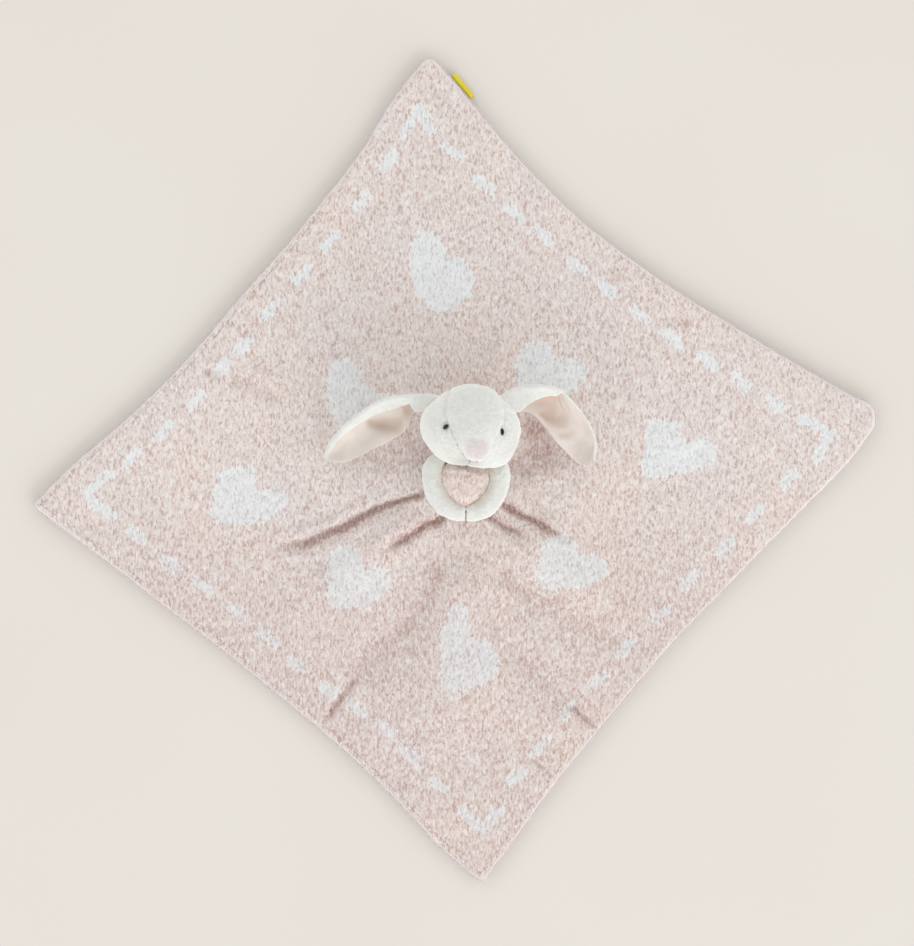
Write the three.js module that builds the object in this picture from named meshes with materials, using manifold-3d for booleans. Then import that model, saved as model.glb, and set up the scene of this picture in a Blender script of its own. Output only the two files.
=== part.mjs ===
// Bunny lovey: a two-layer fleece blanket with a stuffed bunny's head, hugging arms and a small stuffed
// heart sewn to its middle. Millimetres, +Z up. The blanket lies on the plane z = 0 and the bunny looks
// up at the viewer. Left and right are the viewer's, looking down with the chin towards -Y.
import * as THREE from "three";
import { mergeVertices } from "three/addons/utils/BufferGeometryUtils.js";
import Module from "manifold-3d";

const wasm = await Module();
wasm.setup();

// Clearance between neighbouring pieces
const seamGap = 0.3;

// Blanket outline: corners before rounding, clockwise from the top, as shares of its width and height
const blanketWidth = 565;
const blanketHeight = 552;
const cornerShares = [
  [-0.03, 0.5],
  [0.498, 0.079],
  [0.03, -0.499],
  [-0.501, -0.043],
];
const cornerRounds = [10, 16, 8, 8];
// How far each side, from its corner to the next, lies inside the straight line between the two
const deepestSag = 27;
const sideSagShares = [
  [0.05, 0.34, 0.64, 0.87, 1, 0.98, 0.91, 0.75, 0.59, 0.4, 0.2],
  [-0.2, -0.29, -0.18, -0.04, 0.07, 0.2, 0.23, 0.23, 0.22, 0.12, 0.04],
  [0.03, 0.06, 0.24, 0.34, 0.37, 0.35, 0.32, 0.24, 0.19, 0.11, 0.03],
  [0.06, 0.15, 0.36, 0.49, 0.52, 0.49, 0.49, 0.43, 0.33, 0.07, -0.02],
];
const sideSteps = 10;

// Blanket layers
const backThickness = 3;
const frontThickness = 3.4;
const rimRound = 5;
const rimShare = 0.4; // thickness left at the rim
const ringShares = [0.06, 0.14, 0.23, 0.34, 0.47, 0.62, 0.8, 1];

// The bunched fabric under the bunny holds the middle of the blanket off the table
const plateauLift = 5;
const plateauRadius = 92;
const plateauSlope = 30;

// Folds that the gathered neck sends across the blanket: direction from the neck in degrees, then rise
// as a share of foldRise, half spread as a share of foldSpread, and start and end as shares of foldReach
const foldRise = 7;
const foldSpread = THREE.MathUtils.degToRad(17);
const foldReach = 200;
const foldShares = [
  [-136, 0.75, 0.7, 0.22, 0.8],
  [-148, -0.4, 0.6, 0.2, 0.7],
  [-114, -0.35, 0.7, 0.3, 1],
  [-92, 1, 1, 0.3, 1.05],
  [-70, -0.3, 0.7, 0.35, 1],
  [-53, 0.8, 0.8, 0.24, 0.8],
  [-40, -0.4, 0.6, 0.2, 0.5],
];
const flatBelow = 0.05; // lifts smaller than this lie flat

// Overlock thread round the rim, and the neck's stitching on the blanket
const edgeThreadRadius = 0.6;
const neckThreadRadius = 0.4;
const threadSides = 4;
const ringThreadSides = 6;

// Label sewn into the upper right side
const labelWidth = 20;
const labelLength = 3.2;
const labelThickness = 0.9;
const labelFromCorner = 29;
const labelDroop = THREE.MathUtils.degToRad(18);

// Where the bunny is sewn on: the neck's axis, which the head and the arms turn about
const neckX = 6.3;
const neckY = 8;
const neckRadius = 7.5;
const neckRise = 4.2; // pivot above the blanket
const neckSides = 16;
const ballSides = 12;
const neckRows = 7;

// Head, in its own frame: X to the viewer's right, Y to the crown, Z out of the face
const headWidth = 64;
const headLength = 57;
const headDepth = 52;
const headAhead = 19.6; // centre beyond the neck's axis, towards the crown
const headAside = 2.7;
const earTipDown = -22; // tips from the head's centre
const headRoll = THREE.MathUtils.degToRad(-5);
const headYaw = THREE.MathUtils.degToRad(6);
const cheekBulge = 2.2;
const muzzleBulge = 7;
const crownTaper = 0.12;
const jawWiden = 0.08;
const plushThickness = 1.8;
const headSides = 22;
const headRows = 11;
// Half of the gusset that runs from the mouth over the forehead to the nape, as shares of half the
// head's width and length
const gussetShares = [
  [0.08, -0.8],
  [0.27, -0.63],
  [0.34, -0.44],
  [0.46, -0.14],
  [0.58, 0.14],
  [0.62, 0.6],
  [0.5, 1.3],
];

// Eyes, nose and mouth
const eyeWidth = 3;
const eyeLength = 4.8;
const eyeDepth = 3.4;
const eyeSpacing = 36.5;
const eyeUp = -2;
const noseWidth = 15;
const noseLength = 12;
const noseThickness = 1.6;
const noseDown = 13.5;
const mouthWidth = 1.1;
const mouthLength = 3.4;
const mouthThickness = 0.7;
const mouthDown = 22.5;

// Ears: a plush back whose lip turns over the upper edge of a satin lining. Each station gives the
// upper and the lower edge as shares of the reach out from the face's middle, up from the tip towards
// the crown and up from the tip's height to the root's. The last ring rounds the tip off.
const earBackThickness = 1.4;
const earLiningThickness = 0.9;
const earLayerGap = 0.5;
const earTackRadius = 1.4; // the knot at the root that the ear turns on
const earRootGap = 2; // from the head, so that the root can turn
const earTackAt = 0.11; // share of the ear's length
const earAcross = [-1, -0.7, -0.35, 0, 0.35, 0.7, 1];
const earSteps = 14;
const earSag = 7;
const earTipHeight = 3.6; // lower edge at the tip, above the blanket
const liningFrom = 3; // stations before this one are plush all round
const leftEar = {
  side: -1,
  reach: 98,
  fall: 44,
  rootHeight: 27,
  upperShares: [
    [0.1, 0.865, 1.05],
    [0.253, 0.96, 1.07],
    [0.392, 0.95, 1.09],
    [0.531, 0.92, 1.01],
    [0.651, 0.81, 0.87],
    [0.766, 0.635, 0.64],
    [0.863, 0.46, 0.39],
    [0.946, 0.238, 0.16],
    [0.974, 0.089, 0.07],
  ],
  lowerShares: [
    [0.14, 0.66, 0.9],
    [0.281, 0.72, 0.85],
    [0.393, 0.74, 0.79],
    [0.454, 0.47, 0.57],
    [0.549, 0.296, 0.39],
    [0.658, 0.178, 0.2],
    [0.76, 0.06, 0.07],
    [0.841, -0.008, 0.01],
    [0.915, -0.015, 0.01],
  ],
  sagShares: [0, 0.1, 0.35, 0.8, 1, 0.9, 0.7, 0.4, 0.1],
  lipShares: [0.6, 0.6, 0.5, 0.28, 0.24, 0.23, 0.22, 0.2, 0.2],
};
const rightEar = {
  side: 1,
  reach: 85,
  fall: 54,
  rootHeight: 29,
  upperShares: [
    [0.19, 0.73, 0.88],
    [0.316, 0.85, 0.98],
    [0.491, 0.889, 1.03],
    [0.652, 0.861, 0.94],
    [0.746, 0.744, 0.77],
    [0.842, 0.579, 0.53],
    [0.923, 0.4, 0.29],
    [0.965, 0.219, 0.12],
    [0.958, 0.049, 0.05],
  ],
  lowerShares: [
    [0.226, 0.53, 0.77],
    [0.34, 0.58, 0.77],
    [0.442, 0.59, 0.7],
    [0.535, 0.482, 0.53],
    [0.606, 0.351, 0.36],
    [0.678, 0.218, 0.19],
    [0.749, 0.109, 0.07],
    [0.827, -0.012, 0.01],
    [0.913, -0.073, 0.01],
  ],
  sagShares: [0, 0.1, 0.4, 0.8, 1, 0.9, 0.7, 0.4, 0.1],
  lipShares: [0.7, 0.7, 0.6, 0.24, 0.14, 0.12, 0.12, 0.12, 0.12],
};

// Arms: a centreline from the neck's side to the middle between the paws, as shares of the ring's half
// width and of the reach from the shoulders to the paws
const armRingHalfWidth = 22.8;
const armReach = 38.3;
const armRadius = 6.5;
const armSides = 8;
const armSteps = 13;
const pawGap = 1.4;
const armRadiusShares = [0.36, 0.6, 0.9, 1, 0.98, 0.92, 0.84, 0.5];
const armPathShares = [
  [0.74, 0.02],
  [0.97, 0.18],
  [1, 0.42],
  [0.87, 0.69],
  [0.56, 0.91],
  [0.25, 0.99],
];
const armClearance = 1; // from the head and the neck
const headTurnLimit = 12; // degrees to each side
const headLiftLimit = 12; // degrees, crown up
const armLiftLimit = 10; // degrees, paws up
const pawTackRadius = 0.35;
const pawTackLength = 4.6;

// Heart held between the paws
const heartWidth = 31;
const heartLength = 28;
const heartDepth = 11.5;
const heartFromShoulders = 20.2;
const heartAside = 1;
const heartCover = 1.5;
const heartSides = 20;
const heartRingShares = [0.3, 0.62, 0.86, 1];

// Directions and small helpers
const TURN = Math.PI * 2;
const HALF_TURN = Math.PI;
const up = new THREE.Vector3(0, 0, 1);
const { clamp, lerp, smoothstep } = THREE.MathUtils;

const materials = {
  fleecePink: [0xe3cdc6, 1],
  fleeceWhite: [0xe9e7e6, 1],
  plush: [0xe6e6e1, 0.95],
  satin: [0xe0c9bf, 0.55],
  nosePink: [0xe3d3d2, 0.95],
  eye: [0x2a1d1c, 0.35],
  thread: [0xdcd6de, 0.7],
  filling: [0xf4f4f2, 1],
  label: [0xe6cf1e, 0.6],
};
for (const [name, [color, roughness]] of Object.entries(materials)) {
  materials[name] = new THREE.MeshStandardMaterial({ color, roughness, metalness: 0 });
}

// The value at share s of a list of evenly spaced values
function along(values, s) {
  const place = clamp(s, 0, 1) * (values.length - 1);
  const i = Math.min(Math.floor(place), values.length - 2);
  return lerp(values[i], values[i + 1], place - i);
}

// A closed surface through rings of equally many points, each four-sided face split along its shorter
// diagonal. A stack gets a fan at each end, and a loop joins its last ring to its first.
function closedRings(rings, loop = false) {
  const count = rings[0].length;
  const points = rings.flat();
  const position = points.flatMap((p) => [p.x, p.y, p.z]);
  const index = [];
  const steps = loop ? rings.length : rings.length - 1;
  for (let i = 0; i < steps; i++) {
    const here = i * count;
    const next = ((i + 1) % rings.length) * count;
    for (let j = 0; j < count; j++) {
      const k = (j + 1) % count;
      const [a, b, c, d] = [here + j, here + k, next + k, next + j];
      const shorter = points[a].distanceTo(points[c]) < points[b].distanceTo(points[d]);
      index.push(...(shorter ? [a, b, c, a, c, d] : [b, c, d, b, d, a]));
    }
  }
  if (!loop) {
    for (const [ring, turned] of [
      [0, true],
      [rings.length - 1, false],
    ]) {
      const middle = new THREE.Vector3();
      rings[ring].forEach((p) => middle.add(p));
      middle.divideScalar(count);
      const centre = position.length / 3;
      position.push(middle.x, middle.y, middle.z);
      for (let j = 0; j < count; j++) {
        const a = ring * count + j;
        const b = ring * count + ((j + 1) % count);
        index.push(...(turned ? [b, a, centre] : [a, b, centre]));
      }
    }
  }
  const geometry = new THREE.BufferGeometry();
  geometry.setAttribute("position", new THREE.Float32BufferAttribute(position, 3));
  geometry.setIndex(signedVolume(position, index) < 0 ? index.reverse() : index);
  return geometry;
}

// Six times the volume that the triangles enclose, negative if they face inwards
function signedVolume(position, index) {
  const at = (i) => new THREE.Vector3().fromArray(position, index[i] * 3);
  let sum = 0;
  for (let i = 0; i < index.length; i += 3) sum += at(i).dot(at(i + 1).cross(at(i + 2)));
  return sum;
}

function solid(geometry) {
  const bare = new THREE.BufferGeometry();
  bare.setAttribute("position", geometry.getAttribute("position"));
  bare.setIndex(geometry.getIndex());
  const merged = mergeVertices(bare);
  const vertProperties = new Float32Array(merged.attributes.position.array);
  const triVerts = new Uint32Array(merged.index.array);
  return new wasm.Manifold(new wasm.Mesh({ numProp: 3, vertProperties, triVerts }));
}

// The largest body of a manifold as a geometry, without the slivers that a cut can leave
function geometryOf(manifold) {
  const bodies = manifold.decompose().sort((a, b) => b.volume() - a.volume());
  const cut = bodies[0].getMesh();
  const position = new Float32Array(cut.numVert * 3);
  for (let i = 0; i < cut.numVert; i++) {
    position.set(cut.vertProperties.subarray(i * cut.numProp, i * cut.numProp + 3), i * 3);
  }
  const geometry = new THREE.BufferGeometry();
  geometry.setAttribute("position", new THREE.BufferAttribute(position, 3));
  geometry.setIndex(new THREE.BufferAttribute(new Uint32Array(cut.triVerts), 1));
  return geometry;
}

function piece(name, geometry, material) {
  geometry.computeVertexNormals();
  const mesh = new THREE.Mesh(geometry, material);
  mesh.name = name;
  return mesh;
}

function sphere(radius, centre = new THREE.Vector3()) {
  const ball = new THREE.SphereGeometry(radius, ballSides, ballSides / 2);
  return ball.translate(centre.x, centre.y, centre.z);
}

// The blanket's outline, grown outwards
function outline(grow) {
  const corners = cornerShares.map(([x, y]) => new THREE.Vector2(x * blanketWidth, y * blanketHeight));
  const points = [];
  corners.forEach((corner, k) => {
    const next = corners[(k + 1) % corners.length];
    const side = next.clone().sub(corner);
    const inwards = new THREE.Vector2(side.y, -side.x).normalize();
    const start = cornerRounds[k] / side.length();
    const end = 1 - cornerRounds[(k + 1) % corners.length] / side.length();
    const onSide = (t) =>
      corner
        .clone()
        .addScaledVector(side, t)
        .addScaledVector(inwards, deepestSag * along(sideSagShares[k], t));
    for (let i = 0; i <= sideSteps; i++) points.push(onSide(lerp(start, end, i / sideSteps)));
    points.push(next.clone());
  });
  // Each corner point moves to the middle of the curve between its neighbours
  for (let i = sideSteps + 1; i < points.length; i += sideSteps + 2) {
    const before = points[i - 1];
    const after = points[(i + 1) % points.length];
    points[i].multiplyScalar(2).add(before).add(after).divideScalar(4);
  }
  return points.map((point, i) => {
    const before = points[(i + points.length - 1) % points.length];
    const after = points[(i + 1) % points.length];
    const run = after.clone().sub(before).normalize();
    return point.clone().add(new THREE.Vector2(-run.y, run.x).multiplyScalar(grow));
  });
}

// How far a fold moves the cloth at a point
function foldAt([direction, rise, spread, from, to], x, y) {
  const angle = Math.atan2(y - neckY, x - neckX) - THREE.MathUtils.degToRad(direction);
  const turn = Math.atan2(Math.sin(angle), Math.cos(angle)) / (spread * foldSpread);
  const reach = Math.hypot(x - neckX, y - neckY) / foldReach;
  const fade = smoothstep(reach, from, from + 0.15) * (1 - smoothstep(reach, to - 0.3, to));
  return rise * foldRise * fade * Math.exp(-turn * turn);
}

// Height of the blanket's underside
function liftAt(x, y) {
  const radius = Math.hypot(x - neckX, y - neckY);
  const half = plateauSlope / 2;
  let lift = plateauLift * (1 - smoothstep(radius, plateauRadius - half, plateauRadius + half));
  for (const fold of foldShares) lift += foldAt(fold, x, y);
  return lift < flatBelow ? 0 : lift;
}

// One layer of the blanket. Its height above the underside runs from low to high, and towards the rim
// it keeps only rimShare of its thickness, on the side of the seam.
function blanketLayer(low, high, seamIsHigh) {
  const inner = outline(-rimRound);
  const rim = outline(0);
  const rings = ringShares.map((share) =>
    inner.map((p) => new THREE.Vector2(lerp(neckX, p.x, share), lerp(neckY, p.y, share))),
  );
  const raised = (ring, height) => ring.map((p) => new THREE.Vector3(p.x, p.y, liftAt(p.x, p.y) + height));
  const thin = (high - low) * (1 - rimShare);
  const upper = rings.map((ring) => raised(ring, high));
  const lower = rings.map((ring) => raised(ring, low));
  upper.push(raised(rim, seamIsHigh ? high : high - thin));
  lower.push(raised(rim, seamIsHigh ? low + thin : low));
  return closedRings([...upper, ...lower.reverse()]);
}

// The overlock thread that runs round the rim at the seam
function edgeThread(seamHeight) {
  const path = outline(seamGap + edgeThreadRadius);
  const rings = path.map((point, i) => {
    const before = path[(i + path.length - 1) % path.length];
    const after = path[(i + 1) % path.length];
    const run = after.clone().sub(before).normalize();
    const outwards = new THREE.Vector3(-run.y, run.x, 0);
    const centre = new THREE.Vector3(point.x, point.y, liftAt(point.x, point.y) + seamHeight);
    return ringAround(centre, outwards, up, () => edgeThreadRadius, threadSides);
  });
  return closedRings(rings, true);
}

// Points round a centre in the plane of two directions
function ringAround(centre, first, second, radiusAt, count) {
  return Array.from({ length: count }, (_, i) => {
    const angle = (TURN * (i + 0.5)) / count;
    const radius = radiusAt(angle);
    return centre
      .clone()
      .addScaledVector(first, radius * Math.cos(angle))
      .addScaledVector(second, radius * Math.sin(angle));
  });
}

const seamHeight = backThickness + seamGap / 2;
const blanketTop = plateauLift + backThickness + seamGap + frontThickness;
const seat = blanketTop + seamGap; // where the bunny lies on the blanket

// The label hangs from the edge thread: its root clears the thread at every angle
function labelPiece() {
  const [top, right] = cornerShares.map(([x, y]) => new THREE.Vector2(x * blanketWidth, y * blanketHeight));
  const sideLength = right.distanceTo(top);
  const path = outline(seamGap + edgeThreadRadius);
  const [topRound, rightRound] = cornerRounds;
  const place = ((labelFromCorner - topRound) / (sideLength - topRound - rightRound)) * sideSteps;
  const i = Math.floor(place);
  const hinge = path[i].clone().lerp(path[i + 1], place - i);
  const run = path[i + 1].clone().sub(path[i]);
  const strip = new THREE.BoxGeometry(labelWidth, labelLength, labelThickness);
  const rootDistance = Math.hypot(edgeThreadRadius + seamGap, labelThickness / 2);
  strip.translate(0, labelLength / 2 + rootDistance, 0);
  strip.rotateX(-labelDroop);
  const label = piece("edge_label", strip, materials.label);
  label.rotation.z = run.angle();
  label.position.set(hinge.x, hinge.y, seamHeight);
  return label;
}

// The neck is a stuffed stump, round at the top so that the head turns on it
const neckPivot = new THREE.Vector3(neckX, neckY, seat + neckRise);
function neckStump() {
  const lowest = Math.asin(-neckRise / neckRadius);
  const profile = [new THREE.Vector2(0, -neckRise)];
  for (let i = 0; i <= neckRows; i++) {
    const angle = lerp(lowest, HALF_TURN / 2, i / neckRows);
    const top = i === neckRows;
    profile.push(new THREE.Vector2(top ? 0 : neckRadius * Math.cos(angle), neckRadius * Math.sin(angle)));
  }
  const stump = new THREE.LatheGeometry(profile, neckSides).rotateX(HALF_TURN / 2);
  const mesh = piece("neck_stump", stump, materials.plush);
  mesh.position.copy(neckPivot);
  return mesh;
}

function neckThread() {
  const height = neckThreadRadius - neckRise;
  const radius = Math.sqrt(neckRadius * neckRadius - height * height) + seamGap + neckThreadRadius * 1.5;
  const ring = new THREE.TorusGeometry(radius, neckThreadRadius, ringThreadSides, neckSides);
  const mesh = piece("neck_base_thread", ring, materials.thread);
  mesh.position.set(neckX, neckY, seat + neckThreadRadius);
  return mesh;
}

// A point of the head's surface in its own frame, grown outwards along the ellipsoid's normal
function headPoint(direction, grow) {
  const half = new THREE.Vector3(headWidth / 2, headLength / 2, headDepth / 2);
  const point = direction.clone().multiply(half);
  const normal = direction.clone().divide(half).normalize();
  const front = Math.max(direction.z, 0);
  const low = direction.y + 0.42;
  const cheek = Math.exp(-6 * (direction.y * direction.y)) * Math.abs(direction.x) * (0.4 + front);
  point.x *= 1 - crownTaper * smoothstep(direction.y, 0.15, 0.9) + jawWiden * smoothstep(-direction.y, 0.3, 0.9);
  point.x += Math.sign(direction.x) * cheekBulge * cheek;
  point.z += muzzleBulge * front * Math.exp(-5 * (direction.x * direction.x + low * low));
  return point.addScaledVector(normal, grow);
}

function headSolid(grow) {
  const rings = [];
  for (let i = 1; i <= headRows; i++) {
    const polar = (HALF_TURN * i) / (headRows + 1);
    const ring = [];
    for (let j = 0; j < headSides; j++) {
      const angle = (TURN * (j + 0.5)) / headSides;
      const flat = Math.sin(polar);
      const direction = new THREE.Vector3(flat * Math.cos(angle), flat * Math.sin(angle), Math.cos(polar));
      ring.push(headPoint(direction, grow));
    }
    rings.push(ring);
  }
  return solid(closedRings(rings));
}

// A prism through the whole head, with an outline in the face's plane
function prism(points, depth = headDepth * 2) {
  const shape = new THREE.Shape(points);
  const bar = new THREE.ExtrudeGeometry(shape, { depth, bevelEnabled: false, steps: 1 });
  return solid(bar.translate(0, 0, -depth / 2));
}

// The gusset's outline, with each side moved out by widen
function gussetPrism(widen) {
  const right = gussetShares.map(
    ([x, y]) => new THREE.Vector2((x * headWidth) / 2 + widen, (y * headLength) / 2 - widen),
  );
  const left = right.map((p) => new THREE.Vector2(-p.x, p.y)).reverse();
  return prism([...right, ...left]);
}

function halfPrism(side) {
  const inner = (side * seamGap) / 2;
  const outer = side * headWidth;
  return prism([
    new THREE.Vector2(inner, -headLength),
    new THREE.Vector2(outer, -headLength),
    new THREE.Vector2(outer, headLength),
    new THREE.Vector2(inner, headLength),
  ]);
}

// The head lies on the blanket, tipped by its roll and yaw
const head = new THREE.Group();
head.rotation.set(0, headYaw, headRoll, "ZYX");
head.position.set(
  neckX + headAside,
  neckY + headAhead,
  seat + Math.hypot((headWidth / 2) * Math.sin(headYaw), (headDepth / 2) * Math.cos(headYaw)),
);
head.updateMatrixWorld();

function fillHead() {
  const outer = headSolid(0);
  const pivot = head.worldToLocal(neckPivot.clone());
  const socket = solid(sphere(neckRadius + 2 * seamGap, pivot));
  const shell = outer.subtract(headSolid(-plushThickness)).subtract(socket);
  const sides = shell.subtract(gussetPrism(seamGap / 2));
  const filling = headSolid(-plushThickness - seamGap).subtract(socket);
  head.add(
    piece("head_gusset", geometryOf(shell.intersect(gussetPrism(-seamGap / 2))), materials.plush),
    piece("head_left_side", geometryOf(sides.intersect(halfPrism(-1))), materials.plush),
    piece("head_right_side", geometryOf(sides.intersect(halfPrism(1))), materials.plush),
    piece("head_filling", geometryOf(filling), materials.filling),
  );
  const seatedOn = headSolid(seamGap);
  for (const [name, side] of [
    ["left_eye", -1],
    ["right_eye", 1],
  ]) {
    head.add(piece(name, geometryOf(eyeBall(side).subtract(seatedOn)), materials.eye));
  }
  const front = prism([
    new THREE.Vector2(-headWidth, -headLength),
    new THREE.Vector2(headWidth, -headLength),
    new THREE.Vector2(headWidth, headLength),
    new THREE.Vector2(-headWidth, headLength),
  ], headDepth);
  const faceOnly = front.translate([0, 0, headDepth / 2]);
  const pad = (points, thickness) =>
    headSolid(seamGap + thickness).subtract(seatedOn).intersect(prism(points)).intersect(faceOnly);
  head.add(
    piece("nose_patch", geometryOf(pad(nosePoints(), noseThickness)), materials.nosePink),
    piece("mouth_stitch", geometryOf(pad(mouthPoints(), mouthThickness)), materials.thread),
  );
}

function eyeBall(side) {
  const x = (side * eyeSpacing) / headWidth;
  const y = (eyeUp * 2) / headLength;
  const direction = new THREE.Vector3(x, y, Math.sqrt(1 - x * x - y * y));
  const ball = new THREE.SphereGeometry(1 / 2, 10, 8);
  ball.scale(eyeWidth, eyeLength, eyeDepth);
  const turn = new THREE.Quaternion().setFromUnitVectors(up, direction.clone().normalize());
  const centre = headPoint(direction, seamGap);
  return solid(ball.applyQuaternion(turn).translate(centre.x, centre.y, centre.z));
}

// A soft triangle, point down
function nosePoints() {
  const shares = [
    [0, -0.55],
    [0.28, -0.32],
    [0.48, 0.08],
    [0.46, 0.38],
    [0.2, 0.45],
  ];
  const right = shares.map(([x, y]) => new THREE.Vector2(x * noseWidth, y * noseLength - noseDown));
  return [...right, ...right.slice(1).reverse().map((p) => new THREE.Vector2(-p.x, p.y))];
}

function mouthPoints() {
  const half = mouthWidth / 2;
  return [
    new THREE.Vector2(-half, -mouthDown - mouthLength / 2),
    new THREE.Vector2(half, -mouthDown - mouthLength / 2),
    new THREE.Vector2(half, -mouthDown + mouthLength / 2),
    new THREE.Vector2(-half, -mouthDown + mouthLength / 2),
  ];
}

// A point of an ear's middle surface: s runs from the root to the tip and v from the lower edge, -1, to
// the upper edge, 1
function earPoint(ear, s, v) {
  const edge = (shares) => {
    const curve = new THREE.CatmullRomCurve3(
      shares.map(
        ([x, y, z]) =>
          new THREE.Vector3(
            neckX + headAside + ear.side * x * ear.reach,
            neckY + headAhead + earTipDown + y * ear.fall,
            blanketTop + earTipHeight + z * ear.rootHeight,
          ),
      ),
    );
    return curve.getPoint(s);
  };
  const upper = edge(ear.upperShares);
  const point = edge(ear.lowerShares).lerp(upper, (v + 1) / 2);
  const sag = earSag * along(ear.sagShares, s) * (1 - v * v) * (1 + 0.5 * v);
  return point.addScaledVector(up, -sag);
}

// The same surface moved by an offset along its normal, towards the lining's side
function earOffset(ear, s, v, offset) {
  const step = 0.01;
  const runFrom = earPoint(ear, Math.max(s - step, 0), v);
  const run = earPoint(ear, Math.min(s + step, 1), v).sub(runFrom);
  const acrossFrom = earPoint(ear, s, v - step);
  const across = earPoint(ear, s, v + step).sub(acrossFrom);
  const normal = run.cross(across).multiplyScalar(ear.side).normalize();
  return earPoint(ear, s, v).addScaledVector(normal, offset);
}

// Places across an ear, from its lower edge to its lip, that the back and the lining share
function earShares(ear, s, lowest, fromLip) {
  const lip = 1 - 2 * along(ear.lipShares, s);
  const inner = [0.25, 0.5, 0.75].map((w) => lerp(-1, lip, w));
  return { lip, shares: [lowest, ...inner, lip - fromLip] };
}

// Rings round the plush back: the outside, the lip that laps the upper edge, then the face under the
// lining
function earBackRings(ear) {
  const front = earLiningThickness + earLayerGap;
  return Array.from({ length: earSteps + 1 }, (_, i) => {
    const s = i / earSteps;
    const { lip, shares } = earShares(ear, s, -1, 0.06);
    const under = i < liningFrom ? front : 0;
    const outside = earAcross.map((v) => earOffset(ear, s, v, -earBackThickness));
    const lapped = [1, (1 + lip) / 2, lip].map((v) => earOffset(ear, s, v, front));
    return [...outside, ...lapped, ...shares.reverse().map((v) => earOffset(ear, s, v, under))];
  });
}

function earLiningRings(ear) {
  const top = earLayerGap + earLiningThickness;
  return Array.from({ length: earSteps - liningFrom + 1 }, (_, i) => {
    const station = clamp(liningFrom + i, liningFrom + 0.25, earSteps - 0.25);
    const s = station / earSteps;
    const { shares } = earShares(ear, s, -0.98, 0.12);
    const far = shares.map((v) => earOffset(ear, s, v, top));
    return [...far, ...shares.reverse().map((v) => earOffset(ear, s, v, earLayerGap))];
  });
}

// The middle of the knot that holds an ear, just off the head where the ear leaves it
function earTackPoint(ear) {
  const half = new THREE.Vector3(headWidth / 2, headLength / 2, headDepth / 2);
  const direction = head.worldToLocal(earPoint(ear, earTackAt, 0)).divide(half).normalize();
  return head.localToWorld(headPoint(direction, seamGap / 2 + earTackRadius));
}

function earGroup(name, ear) {
  const ears = new THREE.Group();
  const centre = earTackPoint(ear);
  const around = solidOfHead(earRootGap).add(solid(sphere(earTackRadius + seamGap, centre)));
  const back = solid(closedRings(earBackRings(ear))).subtract(around);
  const lining = solid(closedRings(earLiningRings(ear))).subtract(around);
  const tack = piece(name + "_ear_tack", sphere(earTackRadius), materials.thread);
  tack.position.copy(centre);
  ears.add(
    piece(name + "_ear_back", geometryOf(back), materials.plush),
    piece(name + "_ear_lining", geometryOf(lining), materials.satin),
    tack,
  );
  return ears;
}

// The head in the part's frame, grown by a clearance, to cut what lies against it
function solidOfHead(grow) {
  return headSolid(grow).transform(head.matrixWorld.elements.slice());
}

// What the head and the neck take up over the arms as the head turns and lifts and the arms lift
function headSweep() {
  const [x, y, z] = neckPivot.toArray();
  const atNeck = solidOfHead(armClearance).translate([-x, -y, -z]);
  let sweep = solid(sphere(neckRadius + armClearance, neckPivot));
  for (const turn of [-headTurnLimit, 0, headTurnLimit]) {
    for (const lift of [0, headLiftLimit]) {
      const moved = atNeck.rotate([lift, 0, turn]);
      sweep = sweep.add(moved.translate([x, y, z]));
      sweep = sweep.add(moved.rotate([armLiftLimit, 0, 0]).translate([x, y, z]));
    }
  }
  return sweep;
}

// The centreline of an arm, then its radius at a share of its length
function armPath(side) {
  const start = (neckRadius + seamGap) / armRingHalfWidth;
  const end = pawGap / 2 / armRingHalfWidth;
  const shares = [[start, 0], ...armPathShares, [end, 1]];
  return new THREE.CatmullRomCurve3(
    shares.map(([x, y], i) => {
      const s = i / (shares.length - 1);
      const height = seat + armRadius * along(armRadiusShares, s);
      return new THREE.Vector3(neckX + side * x * armRingHalfWidth, neckY - y * armReach, height);
    }),
  );
}

// An arm's sweep, thinner by inset, its first ring moved back and its last one short of the paw's end
function armSweep(side, inset, back, short) {
  const path = armPath(side);
  const ring = (s, moved) => {
    const run = s === 1 ? new THREE.Vector3(-side, 0, 0) : path.getTangent(s);
    const aside = run.clone().cross(up).normalize();
    const centre = path.getPoint(s).addScaledVector(run, moved);
    const radius = armRadius * along(armRadiusShares, s) - inset;
    return ringAround(centre, aside, aside.clone().cross(run), () => radius, armSides);
  };
  const rings = Array.from({ length: armSteps + 1 }, (_, i) => ring(i / armSteps, i === armSteps ? -short : 0));
  if (back > 0) rings.unshift(ring(0, -back));
  return solid(closedRings(rings));
}

function armPieces(name, side) {
  const end = (plushThickness * 2) / 3;
  const cavity = armSweep(side, plushThickness, armRadius, end);
  const cover = armSweep(side, 0, 0, 0).subtract(cavity).subtract(aroundArms);
  const filling = armSweep(side, plushThickness + seamGap, 0, end + seamGap).subtract(aroundArms);
  return [
    piece(name + "_arm_cover", geometryOf(cover), materials.plush),
    piece(name + "_arm_filling", geometryOf(filling), materials.filling),
  ];
}

// The stitch that holds the paws together stands between them
function pawTack() {
  const bar = new THREE.CylinderGeometry(pawTackRadius, pawTackRadius, pawTackLength, ringThreadSides);
  const mesh = piece("paw_tack_thread", bar.rotateX(HALF_TURN / 2), materials.thread);
  const pawRadius = armRadius * armRadiusShares[armRadiusShares.length - 1];
  mesh.position.set(neckX, neckY - armReach, seat + pawRadius);
  return mesh;
}

// The heart's outline at an angle, as shares of its half width and half length
function heartShare(angle) {
  const s = Math.sin(angle);
  const x = s * s * s;
  const y = (13 * Math.cos(angle) - 5 * Math.cos(2 * angle) - 2 * Math.cos(3 * angle)) / 14.4 + 0.12;
  return new THREE.Vector2(x, y);
}

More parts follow.
